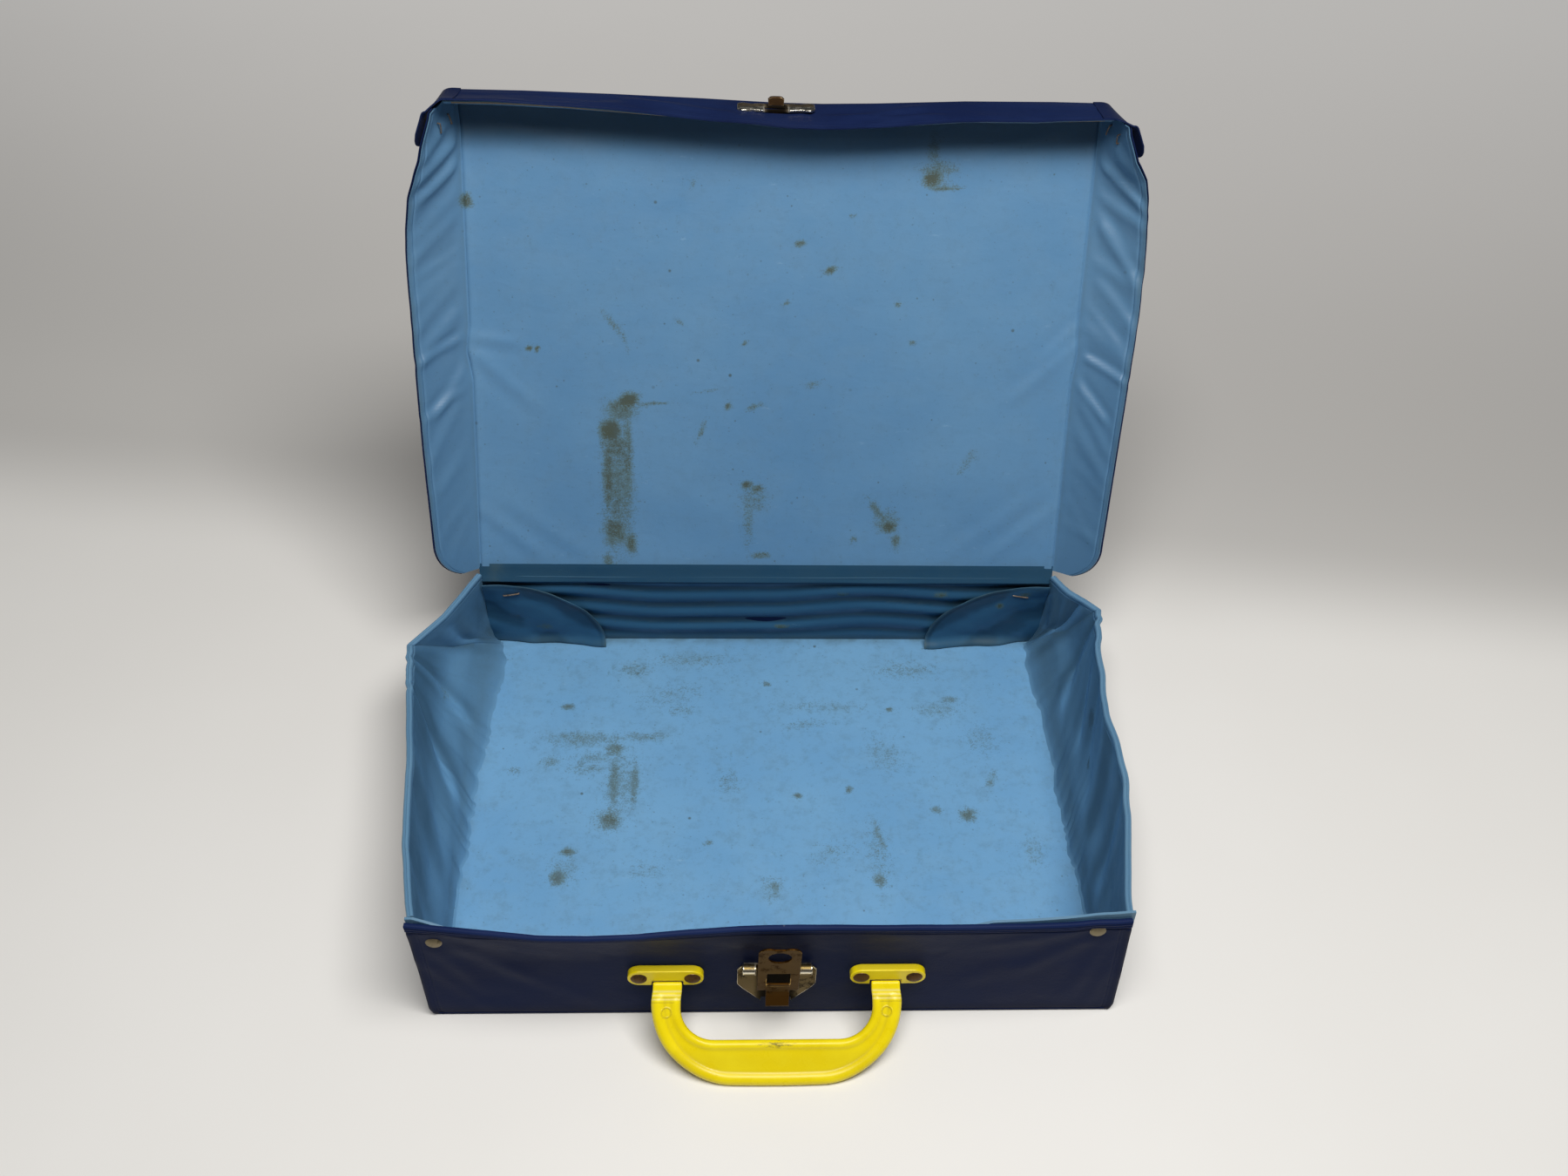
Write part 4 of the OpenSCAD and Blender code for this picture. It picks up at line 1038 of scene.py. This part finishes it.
def wrinkle_rows(side):
    """Slanting wrinkles from the fold to the free edge, as rows for folds()."""
    rng = np.random.default_rng(100 + side)
    rows = []
    at = 226.0
    while at > 24:
        big = np.interp(at, [20, 60, 100, 135, 180, 200, 230], [0.25, 0.32, 1.0, 0.8, 1.0, 1.35, 1.1])
        lean = rng.uniform(9, 24) * (1 if at > 60 else 0.7)
        start, end = rng.uniform(-0.1, 0.35) * FLANGE_W, rng.uniform(0.55, 1.0) * FLANGE_W
        rows.append((at, start, at - lean, end, rng.uniform(1.8, 3.8), big * rng.uniform(0.3, 1.3)))
        at -= rng.uniform(6.5, 17.0)
    return rows


def flange_surface(side, u, f, wrinkled=True):
    """Inner face of a flange sheet. f from -1 to 0 is its strip on the panel, 0 to 1 the flange itself."""
    U, F = grid(u, f)
    fold = read(FOLD_LINE[side], U)
    splay = np.radians(read(SPLAY[side], U))
    # the hinge end is rounded
    reach = np.clip(F, 0, 1) * np.sqrt(np.clip(1 - (np.clip(20 - U, 0, 20) / 20.5) ** 2, 0.02, 1))
    x = np.where(F < 0, fold + 4.0 * F, fold + (FLANGE_X + FLANGE_W * np.sin(splay) - fold) * reach)
    w = np.where(F < 0, 0.0, (-1.35 + FLANGE_W * np.cos(splay)) * reach)
    # the fold itself is round
    across = points_of(x, w)
    for _ in range(3):
        across[:, 1:-1] = across[:, 1:-1] * 0.5 + (across[:, :-2] + across[:, 2:]) * 0.25
    bow = 1.6 * np.sin(np.pi * reach) * np.interp(U, [0, 40, 200, 234], [0.6, 1.0, 1.0, 0.3])
    # it stands out a little where it has to pass the front wall's corner
    wrinkle = bow * 0.8 + 1.0 * smooth(204, 216, U) * smooth(0.1, 0.4, F)
    if wrinkled:
        deep = smooth(-0.1, 0.25, F) * (1 - 0.75 * smooth(0.86, 1.0, F))
        wrinkle = wrinkle - folds(U, F * FLANGE_W, wrinkle_rows(side)) * deep
    wrinkle = wrinkle * smooth(0, 0.2, F)
    height = np.where(F < 0.4, lid_height(side * x, U),
                      0.0) * (1 - smooth(-0.1, 0.4, F)) - 0.7 * smooth(0.0, -0.3, F)
    return U, F, across[..., 0] + np.cos(splay) * wrinkle, across[..., 1] - np.sin(splay) * wrinkle + height


def flange_base(side, U, x, w):
    """Points of a flange, kept clear of the lip."""
    return lid_point(side * x, np.minimum(U, LID_L - 2.6 - math.sin(LIP_LEAN) * w) + corner_shift(side, U),
                     w)


def flange(side):
    word, inner_side = WORD[side], INWARD - side * ACROSS
    u = steps((1.0, 22, 16), (22, 233.5, 150), once=True)
    U, F, x, w = flange_surface(side, u, steps((-1, -0.1, 6), (0, 0.84, 24), (0.855, 1, 14)))
    pressed = welds((1 - F) * FLANGE_W, (2.9,), 0.35, 0.35)
    lining = shell(f"{word}_flange_inner_vinyl", flange_base(side, U, x, w), inner_side, pressed - LINING_T,
                   pressed,
                   BLUE_FLANGE, f"{word}_flange_lining", uv=points_of(side * x, U) + 160,
                   soil=np.clip(0.45 * bell(F - 0.98, 0.05) + 0.25 * bell(F, 0.05), 0, 1),
                   stain=spots(side * x, U, LID_STAINS), shade=0.31 * smooth(-0.25, 0.2, F))
    # the outer skin lies behind the card on the panel and against the lining on the flange, 0.9 mm longer
    # than it
    U, F, x, w = flange_surface(side, u, np.append(steps((-1, -0.1, 6), (0, 1.0, 24)), 1.035))
    splay = np.radians(read(SPLAY[side], U))
    x, w = x + 0.25 * np.sin(splay) * (F > 1), w + 0.25 * np.cos(splay) * (F > 1)
    gap = 2.1 - 1.5 * smooth(-0.35, 0.12, F) + 0.55 * smooth(0.45, 0.9, F) * (1 - 0.5 * smooth(208, 220, U))
    skin = shell(f"{word}_flange_outer_vinyl", flange_base(side, U, x, w), inner_side, -gap - SKIN_T, -gap,
                 NAVY_LID,
                 f"{word}_flange_skin", uv=points_of(side * x, U) + 160, soil=0.0)
    return [lining, skin]


def corner_flap(side):
    """The lip's end turned round the corner and stapled outside the flange."""
    down = np.linspace(0, 1, 24)
    A, B = grid(down, np.linspace(0, 1, 22))
    low = np.interp(A, [0, 0.4, 0.7, 0.85, 0.94, 1.0], [222, 217, 213.5, 213, 214.5, 218])
    U = low + (233.2 - low) * B
    splay = np.radians(np.interp(U, [205, 214, 224, 234], [24, 20, 10, 2] if side < 0 else [34, 27, 15, 4]))
    off = 1.2 + 1.0 * A ** 1.5
    out = FLANGE_X + FLANGE_W * 1.05 * A * np.sin(splay) + off * np.cos(splay)
    inward = -1.5 + FLANGE_W * 1.06 * A * np.cos(splay) - off * np.sin(splay)
    # towards the lip the sheet leans with it
    leaned = A * LIP_H * math.sin(LIP_LEAN) * smooth(0.45, 1.0, B)
    base = lid_point(side * out, U + corner_shift(side, U) - leaned, inward)
    # last columns turn round onto the lip's face
    turned = [lip_point(side * (152.6 - 7 * q), 2.6 + down * (LIP_H - 2.6), 0.25 - 0.2 * q + 0 * down)
              for q in np.linspace(0.15, 1, 7)]
    whole = np.concatenate([base[:, :-1], np.stack(turned, 1)], 1)
    for _ in range(4):
        whole[:, 16:-3] = whole[:, 16:-3] * 0.5 + (whole[:, 15:-4] + whole[:, 17:-2]) * 0.25
    return shell(f"{WORD[side]}_corner_flap_vinyl", whole, side * ACROSS + 0.5 * ALONG, -0.05, 0.6,
                 NAVY_LID,
                 f"{WORD[side]}_corner_flap", soil=0.2)


def hinge_bands():
    """The vinyl that carries the lid: one sheet inside the hinge line and one outside it."""
    x = np.linspace(-149.5, 149.5, 151)
    flat = np.ones_like(x)
    rows = [points_of(x, y + 0.25 * value_noise(x / 30, 0 * x + z, 83), z * flat)
            for z, y in ((48.5, 107.2), (50.3, 106.5), (52.2, 107.5), (54.2, 109.2))]
    rows += [lid_point(x, u * flat, (0.05 + 0.2 * (u < 2)) * flat) for u in (1.2, 2.4, 3.6)]
    # the left end is soiled where it has torn
    inner = shell("hinge_inner_vinyl", np.stack(rows, 1), -FORWARD, -0.5, 0.0, BLUE_HINGE, "hinge_welt",
                  soil=0.1 + 0.5 * bell(x + 141, 4)[:, None], stain=0.0)
    wave = HALF_D - 47 * REAR_LEAN + 0.55 + 0.3 * value_noise(x / 26, 0 * x, 87)
    rows = [points_of(x, wave + 0.35 * smooth(50, 55, z), z * flat) for z in (47.0, 49.0, 51.0, 53.0, 55.0)]
    rows += [lid_point(x, u * flat, (-WALL_T - 0.45 - 0.1 * (u > 6)) * flat) for u in (2.5, 5.0, 8.0, 11.0)]
    outer = shell("hinge_outer_vinyl", np.stack(rows, 1), FORWARD, -SKIN_T, 0.0, NAVY_LID, soil=0.1)
    return [inner, outer]


# ---- hardware ----

def worn_edges(points, piece):
    """From -1 to 1, how far each point of a dense mesh stands out from its neighbours."""
    edges = get_all(piece.data.edges, "vertices", 2, np.int32)
    facing = get_all(piece.data.vertices, "normal", 3)
    count = np.bincount(edges.ravel(), minlength=len(points))

    def of_neighbours(values):
        total = np.zeros(values.shape, values.dtype)
        for a, b in ((0, 1), (1, 0)):
            np.add.at(total, edges[:, a], values[edges[:, b]])
        return total

    bend = ((points - of_neighbours(points) / np.maximum(count, 1)[:, None]) * facing).sum(1)
    for _ in range(2):
        bend = 0.4 * bend + 0.6 * of_neighbours(bend) / np.maximum(count, 1)
    return np.clip(bend / 0.045, -1, 1)


def from_fold(points):
    """Distance from the handle's folding line."""
    return np.hypot(points[:, 1] - GRIP_Y, points[:, 2] - GRIP_Z)


def bowed(points):
    """The grip's far edge is bowed and its corners are drawn in."""
    reach, points = from_fold(points), points.copy()
    push = smooth(27, 41, reach) * (1.3 - 1.9 * np.clip(np.abs(points[:, 0]) / 46, 0, 1.1) ** 2)
    points[:, 0] *= 1 + 0.014 * smooth(1, 8, reach)
    slope = math.radians(45.6)
    points[:, 1] -= push * math.cos(slope)
    points[:, 2] -= push * math.sin(slope)
    return points


def handle():
    grip, points = moulded("handle_grip_moulding", "handle_grip", 0.42, 14, YELLOW, bowed)
    bend, back, x = worn_edges(points, grip), from_fold(points), points[:, 0]
    scuff = 0.30 * np.clip(bend, 0, 1) + 0.42 * np.exp(-(x / 12) ** 2 - ((back - 26) / 2.5) ** 2) \
        + 0.30 * smooth(39, 44, back) * (0.5 + 0.5 * np.sin(x / 7.0))
    lines = bell(back - 5.6, 0.22) + bell(back - 7.6, 0.2) * (np.abs(x) > 44)
    soil = 0.7 * lines * (np.abs(points[:, 2] - GRIP_Z) > 2) + np.clip(-bend * 1.2, 0, 1) * 0.8 \
        + 0.25 * smooth(22, 30, back) * bell(back - 33, 6)
    stress = sum(0.55 * bell(back - line, 0.35) for line in (3.0, 4.6, 6.3))
    ring = sum(bell(np.hypot(x - side * 47.2, back - 11.8) - 2.1, 0.3) for side in WORD)
    put_values(grip.data, {"scuff": scuff, "soil": np.clip(soil + ring * 0.35, 0, 1),
                           "stress": np.clip(stress, 0, 1) * (points[:, 2] > 12), "ring": ring})
    finish_piece(grip, "handle_grip", "handle")
    for side, word in WORD.items():
        tab, points = moulded(f"handle_tab_{word}_moulding", f"handle_tab_{word}", 0.3, 4, YELLOW)
        bend = worn_edges(points, tab)
        edge = np.minimum(5.25 - np.abs(points[:, 2] - TAB_Z), 16.25 - np.abs(points[:, 0] - side * TAB_X))
        soil = np.clip(0.6 * bell(edge, 0.8) * (points[:, 1] > -116.3) + np.clip(-bend, 0, 1) * 0.9, 0, 1)
        put_values(tab.data, {"scuff": 0.25 * np.clip(bend, 0, 1), "soil": soil})
        finish_piece(tab, f"handle_tab_{word}", "tray")


def pressed_metal(name, node, voxel, material, body, soil=None, wear_and_glint=None, shape=None):
    """A metal piece with its edges made bright as rubbed metal and painted highlight; the two functions add
    dirt and painted shadow, and wear and painted highlight, worked out from the points.
    """
    piece, points = moulded(name, node, voxel, 3, material, shape)
    bend = worn_edges(points, piece)
    # dirt and painted shadow
    dirt = 0 if soil is None else soil(points)
    rubbed_and_glint = np.clip(1.6 * bend, 0, 1) + (0 if wear_and_glint is None else wear_and_glint(points))
    put_values(piece.data, {"wear_and_glint": np.clip(rubbed_and_glint * np.clip(1 - dirt, 0, 1), 0, 1),
                            "soil": np.clip(np.clip(-bend, 0, 1) + dirt, 0, 1)})
    finish_piece(piece, node, body)


def latch():
    (_, plate_top), tongue_low = (corner.z / MM
                                  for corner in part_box("latch_plate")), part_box("latch_tongue")[0].z / MM
    plate_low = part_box("latch_plate")[0].z / MM

    def deeper_wings(points):
        # the wings reach further down than the drawn plate
        moved = points.copy()
        turn = plate_top - 3
        moved[:, 2] = np.where(points[:, 2] < turn, turn - (turn - points[:, 2]) * 1.13, points[:, 2])
        moved[:, 2] = np.where(np.abs(points[:, 0]) < 6.5, np.maximum(moved[:, 2], plate_low), moved[:, 2])
        return moved

    def longer_tab(points):
        # the finger tab under the window is a little longer
        moved = points.copy()
        moved[:, 2] -= 1.5 * smooth(tongue_low + 10.5, tongue_low, points[:, 2])
        return moved

    def round_window(points):
        # brighter along the window's edge
        beyond = np.maximum(np.abs(points[:, 0]) - 4.9, np.abs(points[:, 2] - (tongue_low + 17.25)) - 3.65)
        return 0.8 * bell(beyond, 0.5)

    # the plate is dark and dull behind the tongue, painted shadow seen through the window; its rolled top
    # is rubbed bright in a band that also paints its highlight
    pressed_metal("latch_plate_pressing", "latch_plate", 0.22, NICKEL, "tray",
                  lambda p: np.exp(-(p[:, 0] / 8.6) ** 8) * (p[:, 2] > 12),
                  lambda p: 0.55 * bell(p[:, 2] - 42.6, 1.0) * (np.abs(p[:, 0]) > 8.6), deeper_wings)
    pressed_metal("latch_tongue_pressing", "latch_tongue", 0.2, BRASS, "tongue", None,
                  round_window,
                  longer_tab)
    pressed_metal("latch_pin_wire", "latch_pin", 0.2, NICKEL, "tray")


def strike():
    def squarer(points):
        # the wings keep their depth towards the ends
        down = points @ LIP_DOWN
        grow = 0.7 * smooth(11, 17, np.abs(points[:, 0]))
        return points + ((down - (down.min() + down.max()) / 2) * grow)[:, None] * LIP_DOWN

    def down_plate(points):
        # 0 at the plate's edge by the fold, 1 at its free edge
        down = points @ LIP_DOWN
        return (down - down.min()) / (down.max() - down.min())

    def taller(points):
        # the nose stands a little higher, with a flatter top and squarer sides
        rise = np.clip(points @ LIP_OUT - np.percentile(points @ LIP_OUT, 8), 0, None)
        limit = 1.12 * rise.max()
        moved = points + (limit * np.tanh(1.7 * rise / limit) - rise)[:, None] * LIP_OUT
        squared = np.sign(points[:, 0]) * 3.5 * np.clip(np.abs(points[:, 0]) / 3.5, 0, 1) ** 0.55
        share = 0.75 * smooth(0.5, 2.5, rise)
        moved[:, 0] = points[:, 0] * (1 - share) + squared * share * 1.1
        return moved

    # painted shadow in the opening under the nose: the plate's middle is dark and dull there; the wings are
    # brighter towards the free edge
    pressed_metal("strike_plate_pressing", "strike_plate", 0.22, STRIKE, "lid",
                  lambda p: np.exp(-(p[:, 0] / 5.6) ** 10) * (down_plate(p) > 0.25),
                  lambda p: 0.9 * smooth(0.40, 0.75, down_plate(p)) * (np.abs(p[:, 0]) > 5.4), squarer)
    pressed_metal("strike_nose_pressing", "strike_nose", 0.2, NOSE, "lid", shape=taller)


def settled(points):
    """Each corner rivet goes where the sagging wall has taken it."""
    moved = points.copy()
    for side, (x, z) in RIVETS.items():
        spot = front_point(np.array([x]), np.array([z]))[0]
        moved[points[:, 0] * side > 0] += spot - np.array([side * CAD_RIVET[0], -HALF_D, CAD_RIVET[1]])
    return moved


def rivets_and_boards():
    pressed_metal("corner_rivet_heads", "corner_rivets", 0.2, RIVET, "tray", shape=settled)
    pressed_metal("handle_rivet_heads", "handle_rivets", 0.22, BRONZE, "tray")
    # these two nodes keep their own shape
    for node in ("floor_board", "lid_board"):
        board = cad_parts[node].data
        board.materials.clear()
        board.materials.append(CARD)


def staple(name, middle, along, down, length, wire):
    """A wire staple: a crown on the sheet with its two legs going in."""
    middle, along, down = (np.asarray(v, float) for v in (middle, along, down))
    legs = [middle + along * length * half + down * 1.4 * q for half in (-0.5, 0.5)
            for q in np.linspace(0, 1, 5)]
    crown = [middle + along * length * (q - 0.5) - down * 0.12 * math.sin(math.pi * q)
             for q in np.linspace(0.08, 0.92, 9)]
    path = np.array(legs[4::-1] + crown + legs[5:])
    side = np.repeat(np.cross(along, down)[None, :], len(path), 0)
    up = unit(np.cross(unit(np.gradient(path, axis=0)), side))
    circle = [(wire * math.cos(a), wire * math.sin(a)) for a in np.linspace(0, 2 * math.pi, 11)[:-1]]
    values = {key: np.full(len(path) * len(circle), number) for key,
              number in (("wear_and_glint", 0.4), ("soil", 0.25))}
    return sweep(name, path, side, up, circle, [WIRE], values)


def join(name, parts):
    bm = bmesh.new()
    for part in parts:
        bm.from_mesh(part.data)
    mesh = bpy.data.meshes.new(name)
    bm.to_mesh(mesh)
    bm.free()
    mesh.materials.append(WIRE)
    shade_smooth(mesh)
    for part in parts:
        bpy.data.objects.remove(part)
    return add_object(name, mesh)


def staples():
    for side, word in WORD.items():
        # two through the flange beside the lip
        crowns = []
        for j, u in ((7, 224.5), (15, 221.0)):
            U, F, x, w = flange_surface(side, np.array([u - 1, u, u + 1]), np.linspace(0, 1, 27),
                                        wrinkled=False)
            here = lid_point(side * x, U, w)
            inner = unit(np.cross(here[2, j] - here[0, j], here[1, j + 1] - here[1, j - 1]))
            inner = inner if inner[0] * side < 0 else -inner
            along = unit(here[1, j + 1] - here[1, j - 1]) * 0.5 + unit(here[2, j] - here[0, j]) * 0.85
            crowns.append(staple(f"{word}_staple_{j}", here[1, j] + inner, unit(along), -inner, 5.0, 0.35))
        pair = finish_piece(join(f"{word}_lid_staple_wires", crowns), f"{word}_lid_staples")
        fold_blend(pair)
    z = 41.8
    crowns = [staple(f"rear_staple_{word}", (side * 134, HALF_D - z * REAR_LEAN - 6.0, z),
                     (1, 0, -0.2 * side),
                     (0, 1, 0), 8.0, 0.42) for side, word in WORD.items()]
    finish_piece(join("rear_staple_wires", crowns), "rear_staples", "tray")


# ---- everything in place ----

def fold_blend(piece, layer=0.0):
    """The sheet's placement is baked into its points; layer, how far it lies outside the lining, is not
    used.
    """
    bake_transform(piece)


def give_way(piece):
    """A soft wall, carried by the tray on a mesh of its own."""
    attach(piece, "tray")
    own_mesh(piece)


floor_pieces()
for piece in front_wall():
    give_way(piece)
for side in WORD:
    give_way(turn_in(side))
    for piece in side_wall(side):
        give_way(piece)
rear_wall()
rear_flap(-1)
rear_flap(1)
lid_panel()
lip()
for side in WORD:
    for piece, layer in zip(flange(side), (0.0, 0.0010)):
        fold_blend(piece, layer)
    fold_blend(corner_flap(side), 0.0018)
for piece in hinge_bands():
    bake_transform(piece)
handle()
latch()
strike()
rivets_and_boards()
staples()


# ---- studio ----

def floor_material():
    """Pale paper floor with painted shade where it runs away behind the case, more of it to the right, and
    a painted glow far behind.
    """
    n = Nodes("paper_floor")
    at = n.place()
    split = n.put("ShaderNodeSeparateXYZ")
    n.wire(at, split.inputs[0])
    depth = n.add(split.outputs["Y"], n.times(split.outputs["X"], 0.13))
    # painted shade: a darker band just behind the case, lighter again further back
    colour = n.mix(n.ramp(depth, 0.14, 0.24), (0.80, 0.79, 0.765), (0.55, 0.54, 0.52))
    colour = n.mix(n.ramp(depth, 0.26, 0.7), colour, (0.70, 0.685, 0.665))
    colour = n.over(colour, (0.60, 0.58, 0.54), n.noise(at, 5.0, 4.0), 0.3, 0.7, 0.10)
    # painted shade behind the case, heavier to the right
    to_left = n.ramp(split.outputs["X"], -0.5, 0.5, 1.0, 0.0)
    behind = n.ramp(depth, 0.16, 0.3)
    colour = n.mix(n.times(n.less(1.0, to_left), n.times(behind, 0.30)), colour, (0.42, 0.41, 0.40))
    # painted glow: the far floor gives off light, a little more to the left
    glow = n.add(n.ramp(depth, 0.28, 1.2, 0.0, 0.30), n.times(n.times(to_left, behind), 0.04))
    return n.surface(Base_Color=colour, Roughness=0.55, Normal=n.bump(n.noise(at, 700.0, 3.0), 0.1, 0.1),
                     Emission_Color=(1.0, 0.985, 0.96), Emission_Strength=glow)


def studio():
    mesh = bpy.data.meshes.new("paper_floor")
    size, level = 3.0, -0.0003
    mesh.from_pydata([(x * size, y * size, level) for x, y in ((-1, -1), (1, -1), (1, 1), (-1, 1))], [],
                     [(0, 1, 2, 3)])
    mesh.materials.append(floor_material())
    add_object("paper_floor", mesh)
    data = bpy.data.lights.new("overhead", "AREA")
    data.shape, data.size, data.size_y, data.energy, data.color = "RECTANGLE", 1.0, 0.46, 19.5, (1.0, 0.985,
        0.965)
    lamp = add_object("overhead", data)
    lamp.location = (0.12, -0.34, 1.28)
    lamp.rotation_euler = (Vector((0.0, 0.04, 0.06)) - lamp.location).to_track_quat("-Z", "Y").to_euler()
    world = bpy.data.worlds.new("studio")
    world.use_nodes = True
    world.node_tree.nodes["Background"].inputs["Color"].default_value = (0.95, 0.97, 1.0, 1.0)
    world.node_tree.nodes["Background"].inputs["Strength"].default_value = 0.04
    bpy.context.scene.world = world
    bpy.context.scene.view_settings.view_transform = "Standard"


studio()
